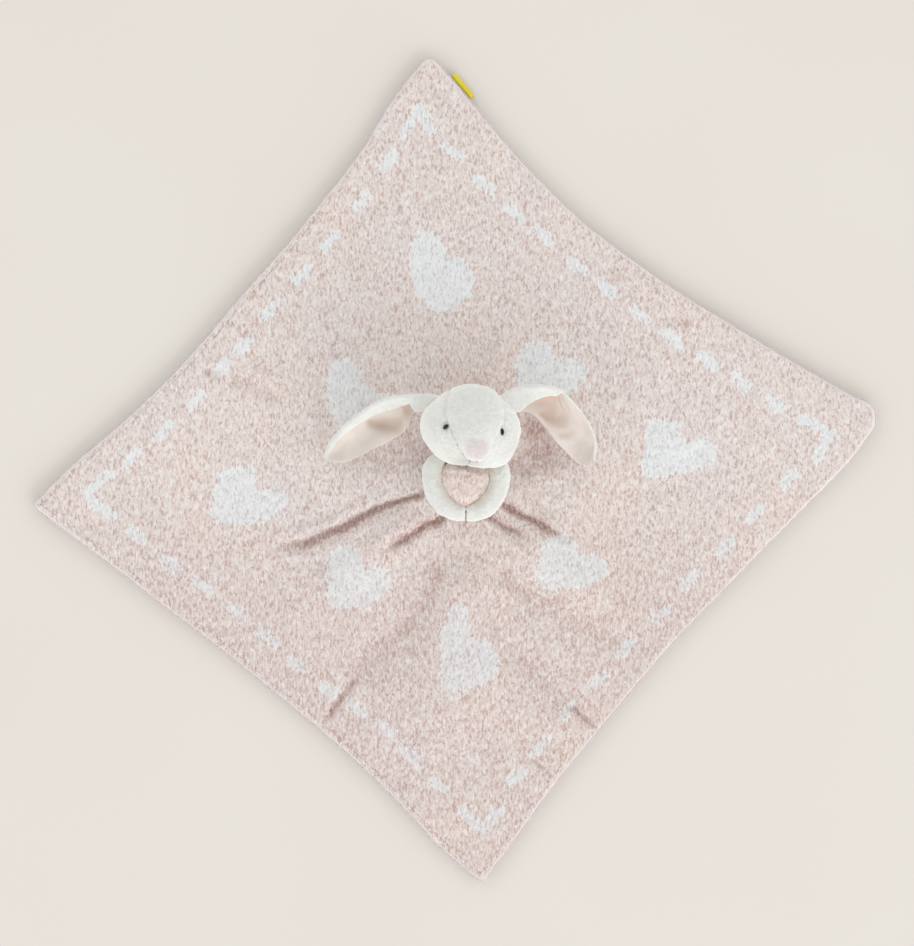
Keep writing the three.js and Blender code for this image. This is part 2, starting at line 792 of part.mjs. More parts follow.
// Rings over one face of the heart, inset on all sides, from the middle to the rim
function heartDome(inset, side) {
  const halfWidth = heartWidth / 2 - inset;
  const halfLength = heartLength / 2 - inset;
  const halfDepth = heartDepth / 2 - inset;
  return heartRingShares.map((share) =>
    Array.from({ length: heartSides }, (_, i) => {
      const p = heartShare((TURN * (i + 0.5)) / heartSides);
      const height = side * (seamGap / 2 + halfDepth * Math.sqrt(1 - share * share));
      return new THREE.Vector3(p.x * share * halfWidth, p.y * share * halfLength, height);
    }),
  );
}

function heartGroup() {
  const heart = new THREE.Group();
  const underside = seat + seamGap / 2 + heartDepth / 2;
  heart.position.set(neckX + heartAside, neckY - heartFromShoulders, underside);
  const arms = armSweep(-1, -seamGap, 0, 0).add(armSweep(1, -seamGap, 0, 0)).add(aroundArms);
  const around = arms.translate([-heart.position.x, -heart.position.y, -heart.position.z]);
  const cover = (side) => solid(closedRings([...heartDome(0, side), ...heartDome(heartCover, side).reverse()]));
  const inset = heartCover + 2 * seamGap;
  const inner = [...heartDome(inset, 1), ...heartDome(inset, -1).reverse()];
  heart.add(
    piece("heart_front", geometryOf(cover(1).subtract(around)), materials.fleecePink),
    piece("heart_back", geometryOf(cover(-1).subtract(around)), materials.fleecePink),
    piece("heart_filling", geometryOf(solid(closedRings(inner)).subtract(around)), materials.filling),
  );
  return heart;
}

fillHead();
const aroundArms = headSweep();
const back = blanketLayer(0, backThickness, true);
const front = blanketLayer(backThickness + seamGap, backThickness + seamGap + frontThickness, false);

const lovey = new THREE.Group();
lovey.add(
  piece("blanket_back", back, materials.fleeceWhite),
  piece("blanket_front", front, materials.fleecePink),
  piece("edge_thread", edgeThread(seamHeight), materials.thread),
  labelPiece(),
  neckStump(),
  neckThread(),
  head,
  earGroup("left", leftEar),
  earGroup("right", rightEar),
  ...armPieces("left", -1),
  ...armPieces("right", 1),
  pawTack(),
  heartGroup(),
);

// The blanket's outline is set about the origin, so that the part's box stands centred on it
const extent = new THREE.Box2().setFromPoints(outline(seamGap + 2 * edgeThreadRadius));
const middle = extent.getCenter(new THREE.Vector2());
lovey.position.set(-middle.x, -middle.y, 0);

export default lovey;
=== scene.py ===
import itertools
import math

import bpy
import numpy as np
from mathutils import Euler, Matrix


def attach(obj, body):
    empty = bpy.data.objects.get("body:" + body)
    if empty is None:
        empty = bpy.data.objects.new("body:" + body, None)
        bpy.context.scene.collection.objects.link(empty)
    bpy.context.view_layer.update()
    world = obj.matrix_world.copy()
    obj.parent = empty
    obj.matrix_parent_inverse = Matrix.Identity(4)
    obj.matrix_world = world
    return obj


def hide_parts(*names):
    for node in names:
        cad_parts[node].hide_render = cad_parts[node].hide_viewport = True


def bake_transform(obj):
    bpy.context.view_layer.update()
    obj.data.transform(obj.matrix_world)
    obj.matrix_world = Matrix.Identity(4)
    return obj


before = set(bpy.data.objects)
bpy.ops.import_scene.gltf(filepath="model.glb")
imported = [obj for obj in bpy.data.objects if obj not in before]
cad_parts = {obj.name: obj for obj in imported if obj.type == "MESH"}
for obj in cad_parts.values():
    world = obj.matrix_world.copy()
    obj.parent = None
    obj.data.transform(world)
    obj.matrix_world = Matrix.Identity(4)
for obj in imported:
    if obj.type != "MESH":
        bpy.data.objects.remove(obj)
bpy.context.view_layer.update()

MM = 0.001
ORIGIN = np.array([1.879, 0.142, 0.0])  # from the frame of the part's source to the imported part's
PATTERN_SHIFT = np.array([1.72, -0.02])  # from the frame of the white pattern and the camera to that one


# Noise, curves and meshes

AXIS_KEYS = (0x9E3779B1, 0x85EBCA77, 0xC2B2AE3D)  # factors that tell the lattice's three axes apart
SCATTER = ((15, 0x2C1B3C6D), (13, 0x297A2D39))  # shifts and factors that scatter a number's bits
LAST_SHIFT, KEPT_BITS, SEED_KEY, SEED_STEP = 16, 0xFFFFFF, 7919, 17.31


def noise(points, cell, seed):
    """Smooth noise from -1 to 1 over lattice cells of the given size."""
    places = np.asarray(points, float) / cell + seed * SEED_STEP
    whole = np.floor(places).astype(np.int64)
    part = places - whole
    ease = part * part * part * (part * (part * 6 - 15) + 10)  # level at both ends
    total = np.zeros(len(places))
    for corner in itertools.product((0, 1), repeat=3):
        at = (whole + corner).astype(np.uint64)
        mixed = np.full(len(at), np.uint64(seed * SEED_KEY))
        for axis, key in enumerate(AXIS_KEYS):
            mixed += at[:, axis] * np.uint64(key)
        for shift, factor in SCATTER:
            mixed ^= mixed >> np.uint64(shift)
            mixed *= np.uint64(factor)
        mixed ^= mixed >> np.uint64(LAST_SHIFT)
        value = (mixed & np.uint64(KEPT_BITS)).astype(float) / KEPT_BITS * 2 - 1
        weight = np.ones(len(places))
        for axis, side in enumerate(corner):
            weight *= ease[:, axis] if side else 1 - ease[:, axis]
        total += weight * value
    return total


def smooth(value, low, high):
    """0 up to low, 1 from high on, and an eased step between them."""
    t = np.clip((value - low) / (high - low), 0, 1)
    return t * t * (3 - 2 * t)


def curve_at(points, share):
    """Points of a centripetal Catmull-Rom curve through the points, at shares of its steps."""
    p = np.asarray(points, float)
    share = np.atleast_1d(share)
    place = np.clip(share, 0, 1) * (len(p) - 1)
    i = np.minimum(np.floor(place).astype(int), len(p) - 2)
    w = (place - i)[:, None]
    ends = np.vstack([2 * p[0] - p[1], p, 2 * p[-1] - p[-2]])
    a, b, c, d = ends[i], ends[i + 1], ends[i + 2], ends[i + 3]
    gap = [np.maximum(np.linalg.norm(v, axis=1), 1e-4)[:, None] ** 0.5 for v in (b - a, c - b, d - c)]
    leave = ((b - a) / gap[0] - (c - a) / (gap[0] + gap[1]) + (c - b) / gap[1]) * gap[1]
    arrive = ((c - b) / gap[1] - (d - b) / (gap[1] + gap[2]) + (d - c) / gap[2]) * gap[1]
    second = -3 * b + 3 * c - 2 * leave - arrive
    third = 2 * b - 2 * c + leave + arrive
    return b + leave * w + second * w**2 + third * w**3


def along(values, share):
    """The value at a share of a list of evenly spaced values, eased through them."""
    values = np.asarray(values, float)
    column = np.stack([np.arange(len(values)), values], 1)
    return curve_at(column, share)[:, 1]


def unit(vectors):
    return vectors / np.maximum(np.linalg.norm(vectors, axis=-1, keepdims=True), 1e-12)


def grid_faces(rows, columns, round_rows=False, start=0):
    """Quads between rows of points. With round_rows each row closes on itself."""
    i = np.arange(rows - 1)[:, None] * columns
    j = np.arange(columns if round_rows else columns - 1)[None, :]
    here, beside = i + j, i + (j + 1) % columns
    return start + np.stack([here, beside, beside + columns, here + columns], -1).reshape(-1, 4)


def cap_faces(ring, centre, turned=False):
    """Triangles from a ring of point numbers to one centre point."""
    following = np.roll(ring, -1)
    middle = np.full(len(ring), centre)
    pairs = [following, ring] if turned else [ring, following]
    return np.stack([*pairs, middle], -1)


def make_mesh(name, points, faces, material):
    """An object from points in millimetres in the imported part's frame and arrays of faces."""
    mesh = bpy.data.meshes.new(name)
    faces = [f for f in faces if len(f)]
    corners = np.concatenate([f.ravel() for f in faces])
    sizes = np.concatenate([np.full(len(f), f.shape[1]) for f in faces])
    starts = np.concatenate([[0], np.cumsum(sizes)[:-1]])
    mesh.vertices.add(len(points))
    mesh.vertices.foreach_set("co", (np.asarray(points) * MM).astype(np.float32).ravel())
    mesh.loops.add(len(corners))
    mesh.loops.foreach_set("vertex_index", corners.astype(np.int32))
    mesh.polygons.add(len(sizes))
    mesh.polygons.foreach_set("loop_start", starts.astype(np.int32))
    mesh.polygons.foreach_set("use_smooth", np.ones(len(sizes), bool))
    mesh.update(calc_edges=True)
    mesh.validate()
    mesh.materials.append(material)
    made = bpy.data.objects.new(name, mesh)
    bpy.context.scene.collection.objects.link(made)
    return made


def read_vectors(source, key):
    got = np.zeros(len(source) * 3, np.float32)
    source.foreach_get(key, got)
    return got.reshape(-1, 3).astype(float)


def points_of(made):
    return read_vectors(made.data.vertices, "co") / MM


def normals_of(made):
    return read_vectors(made.data.vertex_normals, "vector")


def set_points(made, points):
    made.data.vertices.foreach_set("co", (points * MM).astype(np.float32).ravel())
    made.data.update()


def set_value(made, key, data):
    store = made.data.attributes.get(key) or made.data.attributes.new(key, "FLOAT", "POINT")
    store.data.foreach_set("value", np.asarray(data, np.float32))


# Pile: where the fibres stand up, from 0 in the gaps to 1 at the tips

# The size of the tufts, step by step finer, with each step's share of the height
FLEECE_TUFTS = ((np.array([1.7, 2.8, 1.7]), 0.62), (np.array([1.2, 1.8, 1.2]), 0.3))
FLEECE_WARP, FLEECE_WARP_CELL, FLEECE_FIRST_SEED = 1.5, 3.6, 5
PLUSH_TUFTS = ((1.7, 0.4), (0.8, 0.35))


def warped(points, reach, cell, seed, axes):
    """How far each point wanders aside, along as many axes as given."""
    return np.stack([noise(points, cell, seed + k) for k in range(axes)], 1) * reach


def tufts(points, steps, seed):
    stand = sum(share * noise(points, cell, seed + k) for k, (cell, share) in enumerate(steps))
    return np.clip(0.5 + stand, 0, 1)


def fleece_pile(points, seed):
    moved = points + warped(points, FLEECE_WARP, FLEECE_WARP_CELL, seed, 3)
    return tufts(moved, FLEECE_TUFTS, seed + FLEECE_FIRST_SEED)


def plush_pile(points, seed):
    return tufts(points, PLUSH_TUFTS, seed)


def raise_pile(made, pile, height, seed, fade=None):
    """Moves the surface out along its normals by the pile and keeps the pile for the material."""
    points = points_of(made)
    stand = pile(points, seed)
    move = (stand - 0.5) * height
    if fade is not None:
        move = move * fade
    set_points(made, points + normals_of(made) * move[:, None])
    set_value(made, "pile", stand)


# Materials

def linear(red, green, blue):
    """A colour written as sRGB out of 255, in the linear form that shaders take."""
    return tuple(
        v / 12.92 if v <= 0.04045 else ((v + 0.055) / 1.055) ** 2.4
        for v in (red / 255, green / 255, blue / 255)
    ) + (1.0,)


class Look:
    """One material and a short way to add its nodes."""

    def __init__(self, name, rough, sheen=0.0, specular=0.5, sheen_rough=0.5, **more):
        self.material = bpy.data.materials.new(name)
        self.material.use_nodes = True
        self.tree = self.material.node_tree
        self.shader = self.tree.nodes["Principled BSDF"]
        named = {"Roughness": rough, "Sheen Weight": sheen, "Sheen Roughness": sheen_rough}
        named["Specular IOR Level"] = specular
        named.update({key.replace("_", " "): value for key, value in more.items()})
        for key, value in named.items():
            self.shader.inputs[key].default_value = value

    def node(self, kind, settings=None, **inputs):
        made = self.tree.nodes.new(kind)
        for key, value in (settings or {}).items():
            setattr(made, key, value)
        for key, value in inputs.items():
            numbered = key[0] == "n" and key[1:].isdigit()
            socket = made.inputs[int(key[1:]) if numbered else key.replace("_", " ")]
            if isinstance(value, bpy.types.NodeSocket):
                self.tree.links.new(value, socket)
            else:
                socket.default_value = value
        return made

    def link(self, socket, name):
        self.tree.links.new(socket, self.shader.inputs[name])

    def place(self, stretch=(1, 1, 1)):
        """Object coordinates in millimetres, stretched."""
        coordinates = self.node("ShaderNodeTexCoord").outputs["Object"]
        scale = tuple(s / MM for s in stretch)
        return self.node("ShaderNodeMapping", Vector=coordinates, Scale=scale).outputs["Vector"]

    def noise(self, scale, detail=2.0, distortion=0.0, place=None):
        inputs = dict(Vector=place or self.place(), Scale=scale, Detail=detail, Distortion=distortion)
        return self.node("ShaderNodeTexNoise", **inputs).outputs["Fac"]

    def bands(self, scale, distortion, direction="DIAGONAL", place=None, **more):
        """Bands side by side, as threads lie."""
        settings = {"wave_type": "BANDS", "bands_direction": direction}
        inputs = {"Vector": place or self.place(), "Scale": scale, "Distortion": distortion, **more}
        return self.node("ShaderNodeTexWave", settings, **inputs).outputs["Fac"]

    def value(self, name):
        return self.node("ShaderNodeAttribute", {"attribute_name": name}).outputs["Fac"]

    def math(self, operation, a, b=0.0, clamp=False):
        settings = {"operation": operation, "use_clamp": clamp}
        return self.node("ShaderNodeMath", settings, n0=a, n1=b).outputs[0]

    def weighed(self, *parts, clamp=False):
        """The sum of parts, each times its weight."""
        total, *others = [self.math("MULTIPLY", part, weight) for part, weight in parts]
        for k, product in enumerate(others, 1):
            total = self.math("ADD", total, product, clamp and k == len(others))
        return total

    def drift(self, scale, detail, start, gain):
        """Wide patches, from 0 to 1: noise above a start, times a gain."""
        above = self.math("SUBTRACT", self.noise(scale, detail), start, clamp=True)
        return self.math("MULTIPLY", above, gain, clamp=True)

    def mix(self, share, a, b):
        return self.node("ShaderNodeMix", {"data_type": "RGBA"}, n0=share, n6=a, n7=b).outputs[2]

    def ramp(self, value, stops):
        made = self.node("ShaderNodeValToRGB", Fac=value)
        made.color_ramp.interpolation = "EASE"
        elements = made.color_ramp.elements
        while len(elements) < len(stops):
            elements.new(0.5)
        for element, (position, colour) in zip(elements, stops):
            element.position = position
            element.color = linear(*colour)
        return made.outputs["Color"]

    def finish(self, colour, height, distance, strength):
        """Links the colour and the bump of a height, whose distance is in millimetres."""
        bump = self.node("ShaderNodeBump", Height=height, Distance=distance * MM, Strength=strength)
        self.link(colour, "Base Color")
        self.link(bump.outputs["Normal"], "Normal")
        return self.material


FIBRE_STOPS, SOFT_STOPS, FLOOR_STOPS = (0.25, 0.75), (0.3, 0.7), (0.2, 0.8)


def two_stops(places, dark, pale):
    return list(zip(places, (dark, pale)))


def shift_warm(colour):
    red, green, blue = colour
    return (min(red + 3, 255), green + 1, blue - 3)


# The fleece's strokes: stretch, scale, distortion and weight
FLEECE_STROKES = (((1.15, 0.48, 1), 0.62, 0.8, 2.5), ((1.1, 0.46, 1), 1.4, 0.6, 0.6))
FLEECE_PILE_WEIGHT, RIM_CALM, FOLD_SHADE_GAPS = 0.15, 0.55, 1.45
WHITE_MINGLE, WHITE_EDGE = 0.9, (0.34, 0.66)
PINK_STOPS = [
    (0.0, (201, 177, 172)), (0.35, (221, 208, 204)), (0.65, (230, 221, 217)), (1.0, (238, 231, 228)),
]
WHITE_STOPS = [(0.05, (212, 213, 214)), (0.4, (228, 229, 229)), (0.85, (237, 238, 238))]
RIM_STOPS = [(0.05, (221, 208, 206)), (0.4, (230, 220, 218)), (0.85, (238, 230, 229))]
PAINTED_SHADE_PINK = (185, 150, 141)
BACK_STOPS = [(0.2, (206, 200, 206)), (0.5, (226, 222, 226)), (0.85, (238, 236, 238))]
HEART_STOPS = [(0.05, (216, 191, 183)), (0.4, (229, 214, 208)), (0.85, (237, 227, 223))]


def fleece_look(name, stops, patterned=False):
    """Curled yarn: fine upright flecks, dark where the gaps between loops are."""
    look = Look(name, rough=0.95, sheen=0.12, specular=0.1)
    parts = [
        (look.noise(scale, detail=1.0, distortion=distortion, place=look.place(stretch)), weight)
        for stretch, scale, distortion, weight in FLEECE_STROKES
    ]
    parts.append((look.value("pile"), FLEECE_PILE_WEIGHT))
    stand = look.weighed(*((look.math("SUBTRACT", part, 0.5), weight) for part, weight in parts))
    if patterned:
        rim = look.value("rim")
        calm = look.math("SUBTRACT", 1.0, look.math("MULTIPLY", rim, RIM_CALM))
        stand = look.math("MULTIPLY", stand, calm)
    stand = look.math("ADD", stand, 0.5, clamp=True)
    warm = look.ramp(stand, [(p, shift_warm(c)) for p, c in stops])
    patches = look.drift(scale=0.014, detail=3.0, start=0.4, gain=3.0)
    colour = look.mix(patches, look.ramp(stand, stops), warm)
    if patterned:
        mingled = look.math("MULTIPLY", look.math("SUBTRACT", stand, 0.5), WHITE_MINGLE)
        edge = look.math("ADD", look.value("white"), mingled)
        low, high = WHITE_EDGE
        share = look.node("ShaderNodeMapRange", n0=edge, n1=low, n2=high).outputs["Result"]
        colour = look.mix(share, colour, look.ramp(stand, WHITE_STOPS))
        colour = look.mix(rim, colour, look.ramp(stand, RIM_STOPS))
        # Painted shade: darker, deeper pink in the creases, the pools and low on the cloth, most in the gaps
        # between loops
        gaps = look.math("SUBTRACT", FOLD_SHADE_GAPS, stand)
        painted_shade = look.math("MULTIPLY", look.value("fold"), gaps, clamp=True)
        colour = look.mix(painted_shade, colour, linear(*PAINTED_SHADE_PINK))
    height = look.weighed((stand, 0.85), (look.noise(scale=2.6), 0.12))
    return look.finish(colour, height, distance=0.3, strength=0.5)


fleece_front = fleece_look("fleece_front", PINK_STOPS, patterned=True)
fleece_back = fleece_look("fleece_back", BACK_STOPS)
fleece_heart = fleece_look("fleece_heart", HEART_STOPS)

CREAM_AND_SHADE_PLUSH, PAINTED_SHADE_PLUSH = (219, 205, 180), (208, 205, 199)
PLUSH_GAP, PLUSH_TIP, PLUSH_SHADE = (235, 236, 232), (246, 246, 243), (231, 232, 226)
NOSE_GAP, NOSE_TIP, NOSE_SHADE = (224, 215, 214), (235, 228, 227), (222, 213, 212)


def plush_look(name, gap, tip, shade, plain=None):
    """Short fur: pale tips over slightly darker roots, with soft strokes where it lies another way."""
    look = Look(name, rough=0.9, sheen=0.1, specular=0.08, sheen_rough=0.4, Diffuse_Roughness=1.0)
    fibre = look.noise(scale=1.9, detail=3.0, distortion=0.6)
    tuft = look.noise(scale=0.45, distortion=0.4)
    stand = look.weighed((look.value("pile"), 0.3), (fibre, 0.4), (tuft, 0.3), clamp=True)

    def fur(roots, tips):
        return look.ramp(stand, two_stops(FIBRE_STOPS, roots, tips))

    patches = look.drift(scale=0.07, detail=2.0, start=0.42, gain=1.6)
    colour = look.mix(patches, fur(gap, tip), fur(shade, tip))
    if plain:
        colour = look.mix(look.value("border"), colour, fur(*plain))
    else:
        # The seams' cream tone, and painted warm shade where the arms face the heart
        colour = look.mix(look.value("cream"), colour, linear(*CREAM_AND_SHADE_PLUSH))
        # Painted shade on the chin and the right cheek
        colour = look.mix(look.value("plush_painted_shade"), colour, linear(*PAINTED_SHADE_PLUSH))
    height = look.weighed((stand, 0.6), (look.noise(scale=3.4, detail=3.0), 0.3))
    return look.finish(colour, height, distance=0.16, strength=0.6)


plush = plush_look("plush", PLUSH_GAP, PLUSH_TIP, PLUSH_SHADE)
nose_plush = plush_look("nose_plush", NOSE_GAP, NOSE_TIP, NOSE_SHADE, (PLUSH_GAP, PLUSH_TIP))

PAINTED_SHADE_SATIN, PEACH_SHADE_SATIN = (190, 168, 152), (217, 186, 163)
SATIN_COLOURS = (222, 210, 201), (232, 223, 215)
WADDING_COLOURS = (222, 222, 218), (246, 246, 244)
BEAD_COLOURS = (26, 16, 14), (52, 36, 32)
RIBBON_COLOURS = (222, 200, 22), (243, 226, 48)
FLOOR_COLOURS = (231, 225, 217), (233, 228, 220)
RIB_TURN = math.radians(48.6)  # across the label's tape


def satin_look():
    look = Look("satin", rough=0.5, sheen=0.08, specular=0.3, Anisotropic=0.3)
    weave = look.bands(scale=1.1, distortion=0.8, Detail=2.0, Detail_Scale=1.5)
    thread = look.noise(scale=1.2, detail=3.0, place=look.place((1, 3, 1)))
    tone = look.weighed((thread, 0.3), (look.noise(scale=0.07), 0.7))
    colour = look.ramp(tone, two_stops(SOFT_STOPS, *SATIN_COLOURS))
    # Painted shade in the lining's creases and shade blobs
    colour = look.mix(look.value("fold"), colour, linear(*PAINTED_SHADE_SATIN))
    # Painted warm shade beneath the plush lip
    colour = look.mix(look.value("peach_shade"), colour, linear(*PEACH_SHADE_SATIN))
    height = look.weighed((weave, 0.4), (thread, 0.6))
    return look.finish(colour, height, distance=0.06, strength=0.5)


def thread_look(name, dark, pale):
    look = Look(name, rough=0.6, sheen=0.3, specular=0.3)
    ply = look.bands(scale=1.6, distortion=1.2, Detail=2.0)
    tone = look.weighed((ply, 0.5), (look.noise(scale=3.0, detail=3.0), 0.5))
    colour = look.ramp(tone, two_stops(FIBRE_STOPS, dark, pale))
    return look.finish(colour, tone, distance=0.12, strength=0.7)


def wadding_look():
    look = Look("wadding", rough=1.0, sheen=0.3, specular=0.1)
    fibre = look.noise(scale=0.8, detail=5.0, distortion=1.5, place=look.place((1, 1, 2)))
    colour = look.ramp(fibre, two_stops(SOFT_STOPS, *WADDING_COLOURS))
    return look.finish(colour, fibre, distance=0.8, strength=0.8)


def bead_look():
    look = Look("eye_bead", rough=0.22, specular=0.3, Coat_Weight=0.15, Coat_Roughness=0.08)
    cloud = look.noise(scale=0.7, detail=3.0)
    scratch = look.noise(scale=2.0, detail=4.0, place=look.place((1, 4, 1)))
    colour = look.ramp(cloud, two_stops(SOFT_STOPS, *BEAD_COLOURS))
    return look.finish(colour, scratch, distance=0.02, strength=0.3)


def ribbon_look():
    look = Look("ribbon", rough=0.5, sheen=0.2, specular=0.35)
    place = look.node("ShaderNodeMapping", Vector=look.place(), Rotation=(0, 0, RIB_TURN)).outputs["Vector"]
    rib = look.bands(scale=0.9, distortion=0.2, direction="X", place=place)
    tone = look.weighed((rib, 0.5), (look.noise(scale=2.2, detail=3.0, place=place), 0.5))
    colour = look.ramp(tone, two_stops(FIBRE_STOPS, *RIBBON_COLOURS))
    return look.finish(colour, tone, distance=0.12, strength=0.6)


satin = satin_look()
thread_pale = thread_look("thread_pale", (228, 218, 221), (243, 237, 240))
thread_grey = thread_look("thread_grey", (176, 168, 164), (206, 200, 196))
wadding = wadding_look()
bead = bead_look()
ribbon = ribbon_look()


# Blanket: outline and heights, as in the source

BLANKET_WIDTH, BLANKET_HEIGHT = 565, 552
CORNER_SHARES = np.array([[-0.03, 0.5], [0.498, 0.079], [0.03, -0.499], [-0.501, -0.043]])
CORNER_ROUNDS = [10, 16, 8, 8]
DEEPEST_SAG = 27
SIDE_SAG_SHARES = [
    [0.05, 0.34, 0.64, 0.87, 1, 0.98, 0.91, 0.75, 0.59, 0.4, 0.2],
    [-0.2, -0.29, -0.18, -0.04, 0.07, 0.2, 0.23, 0.23, 0.22, 0.12, 0.04],
    [0.03, 0.06, 0.24, 0.34, 0.37, 0.35, 0.32, 0.24, 0.19, 0.11, 0.03],
    [0.06, 0.15, 0.36, 0.49, 0.52, 0.49, 0.49, 0.43, 0.33, 0.07, -0.02],
]
BACK_THICKNESS, FRONT_THICKNESS, SEAM_GAP = 3.0, 3.4, 0.3
RIM_ROUND = 4.2
NECK = np.array([6.3, 8.0])
PLATEAU_LIFT, PLATEAU_RADIUS, PLATEAU_SLOPE = 5, 88, 78
FOLD_RISE, FOLD_SPREAD, FOLD_REACH = 7, math.radians(17), 200
FOLD_SHARES = [
    (-136, 0.75, 0.7, 0.22, 0.8),
    (-148, -0.4, 0.6, 0.2, 0.7),
    (-114, -0.35, 0.7, 0.3, 1),
    (-92, 1, 1, 0.3, 1.05),
    (-70, -0.3, 0.7, 0.35, 1),
    (-53, 0.8, 0.8, 0.24, 0.8),
    (-40, -0.4, 0.6, 0.2, 0.5),
]
SEAM_HEIGHT = BACK_THICKNESS + SEAM_GAP / 2  # above the cloth's underside
BLANKET_TOP = PLATEAU_LIFT + BACK_THICKNESS + SEAM_GAP + FRONT_THICKNESS
SEAT = BLANKET_TOP + SEAM_GAP

# Creases in the fleece: depth, half width, then the line that each follows
CREASES = [
    (4.4, 2.9, [(-16, -14), (-37, -20), (-57, -29), (-84, -43), (-104, -50), (-137, -55)]),
    (4.2, 3.2, [(-6, -30), (-24, -38), (-41, -50), (-53, -59)]),
    (3.4, 3.0, [(18, -28), (35, -40), (50, -47)]),
    (4.2, 3.0, [(27, -21), (45, -32), (58, -40), (77, -48)]),
    (2.0, 9.0, [(-8, -56), (-17, -80), (-37, -106), (-60, -126), (-74, -146), (-88, -168)]),
    (2.0, 8.0, [(25, -60), (42, -80), (68, -93), (101, -109), (128, -119)]),
    (1.6, 7.0, [(32, -113), (55, -139), (75, -156), (93, -172)]),
    (2.8, 2.6, [(-66, -138), (-76, -152), (-90, -171)]),
    (2.4, 2.4, [(74, -155), (84, -164), (96, -175)]),
    (1.6, 2.2, [(48, -190), (63, -203)]),
    (1.4, 3.0, [(-38, -198), (-30, -216)]),
    (1.3, 3.0, [(-168, 66), (-152, 60)]),
    (1.2, 4.0, [(-152, 62), (-130, 52), (-110, 42)]),
    (1.2, 3.2, [(100, 133), (112, 124)]),
    (1.2, 3.2, [(143, 103), (156, 94)]),
]

# Hollows where the cloth is gathered under the bunny, painted with shade: depth, share of the painted shade,
# radius and middle
POOLS = [
    (1.0, 0.35, 13, -38, 24), (1.2, 0.35, 12, -24, 12), (1.0, 0.3, 12, -48, 8),
    (4.2, 0.85, 10, 52, 26), (3.4, 0.7, 12, 57, 12), (2.0, 0.4, 12, 42, 4),
    (0.2, 0.15, 16, -60, 46),
]


SIDE_STEPS, TURN_STEPS = 200, 20  # points along a side, and along half a rounded corner


def to_sides(count):
    """The outline's four sides, each from one rounded corner's middle to the next, evenly spaced."""
    corners = CORNER_SHARES * [BLANKET_WIDTH, BLANKET_HEIGHT]
    sides = []
    for k, corner in enumerate(corners):
        side = corners[(k + 1) % 4] - corner
        inwards = unit(np.array([side[1], -side[0]]))
        length = np.linalg.norm(side)
        t = np.linspace(CORNER_ROUNDS[k] / length, 1 - CORNER_ROUNDS[(k + 1) % 4] / length, SIDE_STEPS)
        sag = DEEPEST_SAG * along(SIDE_SAG_SHARES[k], t)
        sides.append(corner + side * t[:, None] + inwards * sag[:, None])
    turns = []
    for k, corner in enumerate(corners):
        before, after = sides[k - 1][-1], sides[k][0]
        t = np.linspace(0, 1, 2 * TURN_STEPS + 1)[:, None]
        turns.append(before * (1 - t) ** 2 + 2 * corner * t * (1 - t) + after * t**2)
    result = []
    for k in range(4):
        line = np.vstack([turns[k][TURN_STEPS:], sides[k][1:-1], turns[(k + 1) % 4][: TURN_STEPS + 1]])
        run = np.concatenate([[0], np.cumsum(np.linalg.norm(np.diff(line, axis=0), axis=1))])
        even = np.linspace(0, run[-1], count + 1)
        result.append(np.stack([np.interp(even, run, line[:, a]) for a in (0, 1)], 1))
    return result


def ring_of(count, grow=0.0):
    """The whole outline as one ring of four times count points, grown outwards."""
    ring = np.vstack([side[:-1] for side in to_sides(count)])
    run = unit(np.roll(ring, -1, 0) - np.roll(ring, 1, 0))
    return ring + np.stack([-run[:, 1], run[:, 0]], 1) * grow


FOLD_IN, FOLD_OUT = 0.15, 0.3  # the shares of the reach over which a fold begins and ends


def lift_at(xy):
    """How far the plateau under the bunny and the wide folds lift the blanket."""
    offset = xy - NECK
    radius = np.hypot(offset[:, 0], offset[:, 1])
    half = PLATEAU_SLOPE / 2
    lift = PLATEAU_LIFT * (1 - smooth(radius, PLATEAU_RADIUS - half, PLATEAU_RADIUS + half))
    angle = np.arctan2(offset[:, 1], offset[:, 0])
    for direction, rise, spread, begin, end in FOLD_SHARES:
        turn = angle - math.radians(direction)
        turn = np.arctan2(np.sin(turn), np.cos(turn)) / (spread * FOLD_SPREAD)
        reach = radius / FOLD_REACH
        fade = smooth(reach, begin, begin + FOLD_IN) * (1 - smooth(reach, end - FOLD_OUT, end))
        lift += rise * FOLD_RISE * fade * np.exp(-turn * turn)
    return np.maximum(lift, 0)


FAR, NO_LENGTH = 1e9, 1e-9


def to_line(xy, line):
    """Distance of points from a chain of straight pieces, where along it, from 0 to 1, and on which side."""
    line = np.asarray(line, float)
    best, place, side = np.full(len(xy), FAR), np.zeros(len(xy)), np.ones(len(xy))
    lengths = np.linalg.norm(np.diff(line, axis=0), axis=1)
    run = np.concatenate([[0], np.cumsum(lengths)])
    for k in range(len(line) - 1):
        a, b = line[k], line[k + 1]
        t = np.clip((xy - a) @ (b - a) / max((b - a) @ (b - a), NO_LENGTH), 0, 1)
        distance = np.linalg.norm(xy - a - t[:, None] * (b - a), axis=1)
        closer = distance < best
        best[closer] = distance[closer]
        place[closer] = ((run[k] + t * lengths[k]) / run[-1])[closer]
        side[closer] = np.sign((xy - a) @ np.array([a[1] - b[1], b[0] - a[0]]))[closer]
    return best, place, side


def flat_points(xy):
    return np.column_stack([xy, np.zeros(len(xy))])


def rough(points, steps):
    """Noise in steps, each with its height, the size of its cells and its seed."""
    return sum(height * noise(points, cell, seed) for height, cell, seed in steps)


def hump(distance, width):
    """1 at no distance, fading to nothing over about twice the width."""
    return np.exp(-((distance / width) ** 2))


def curve_in_plane(line, count):
    """A smooth line through points of the plane, in as many steps as given."""
    return curve_at(flat_points(np.array(line, float)), np.linspace(0, 1, count))[:, :2]


def around(points, line, margin):
    """Which points lie in the box round a line, grown by a margin."""
    return np.all((points > line.min(0) - margin) & (points < line.max(0) + margin), axis=1)


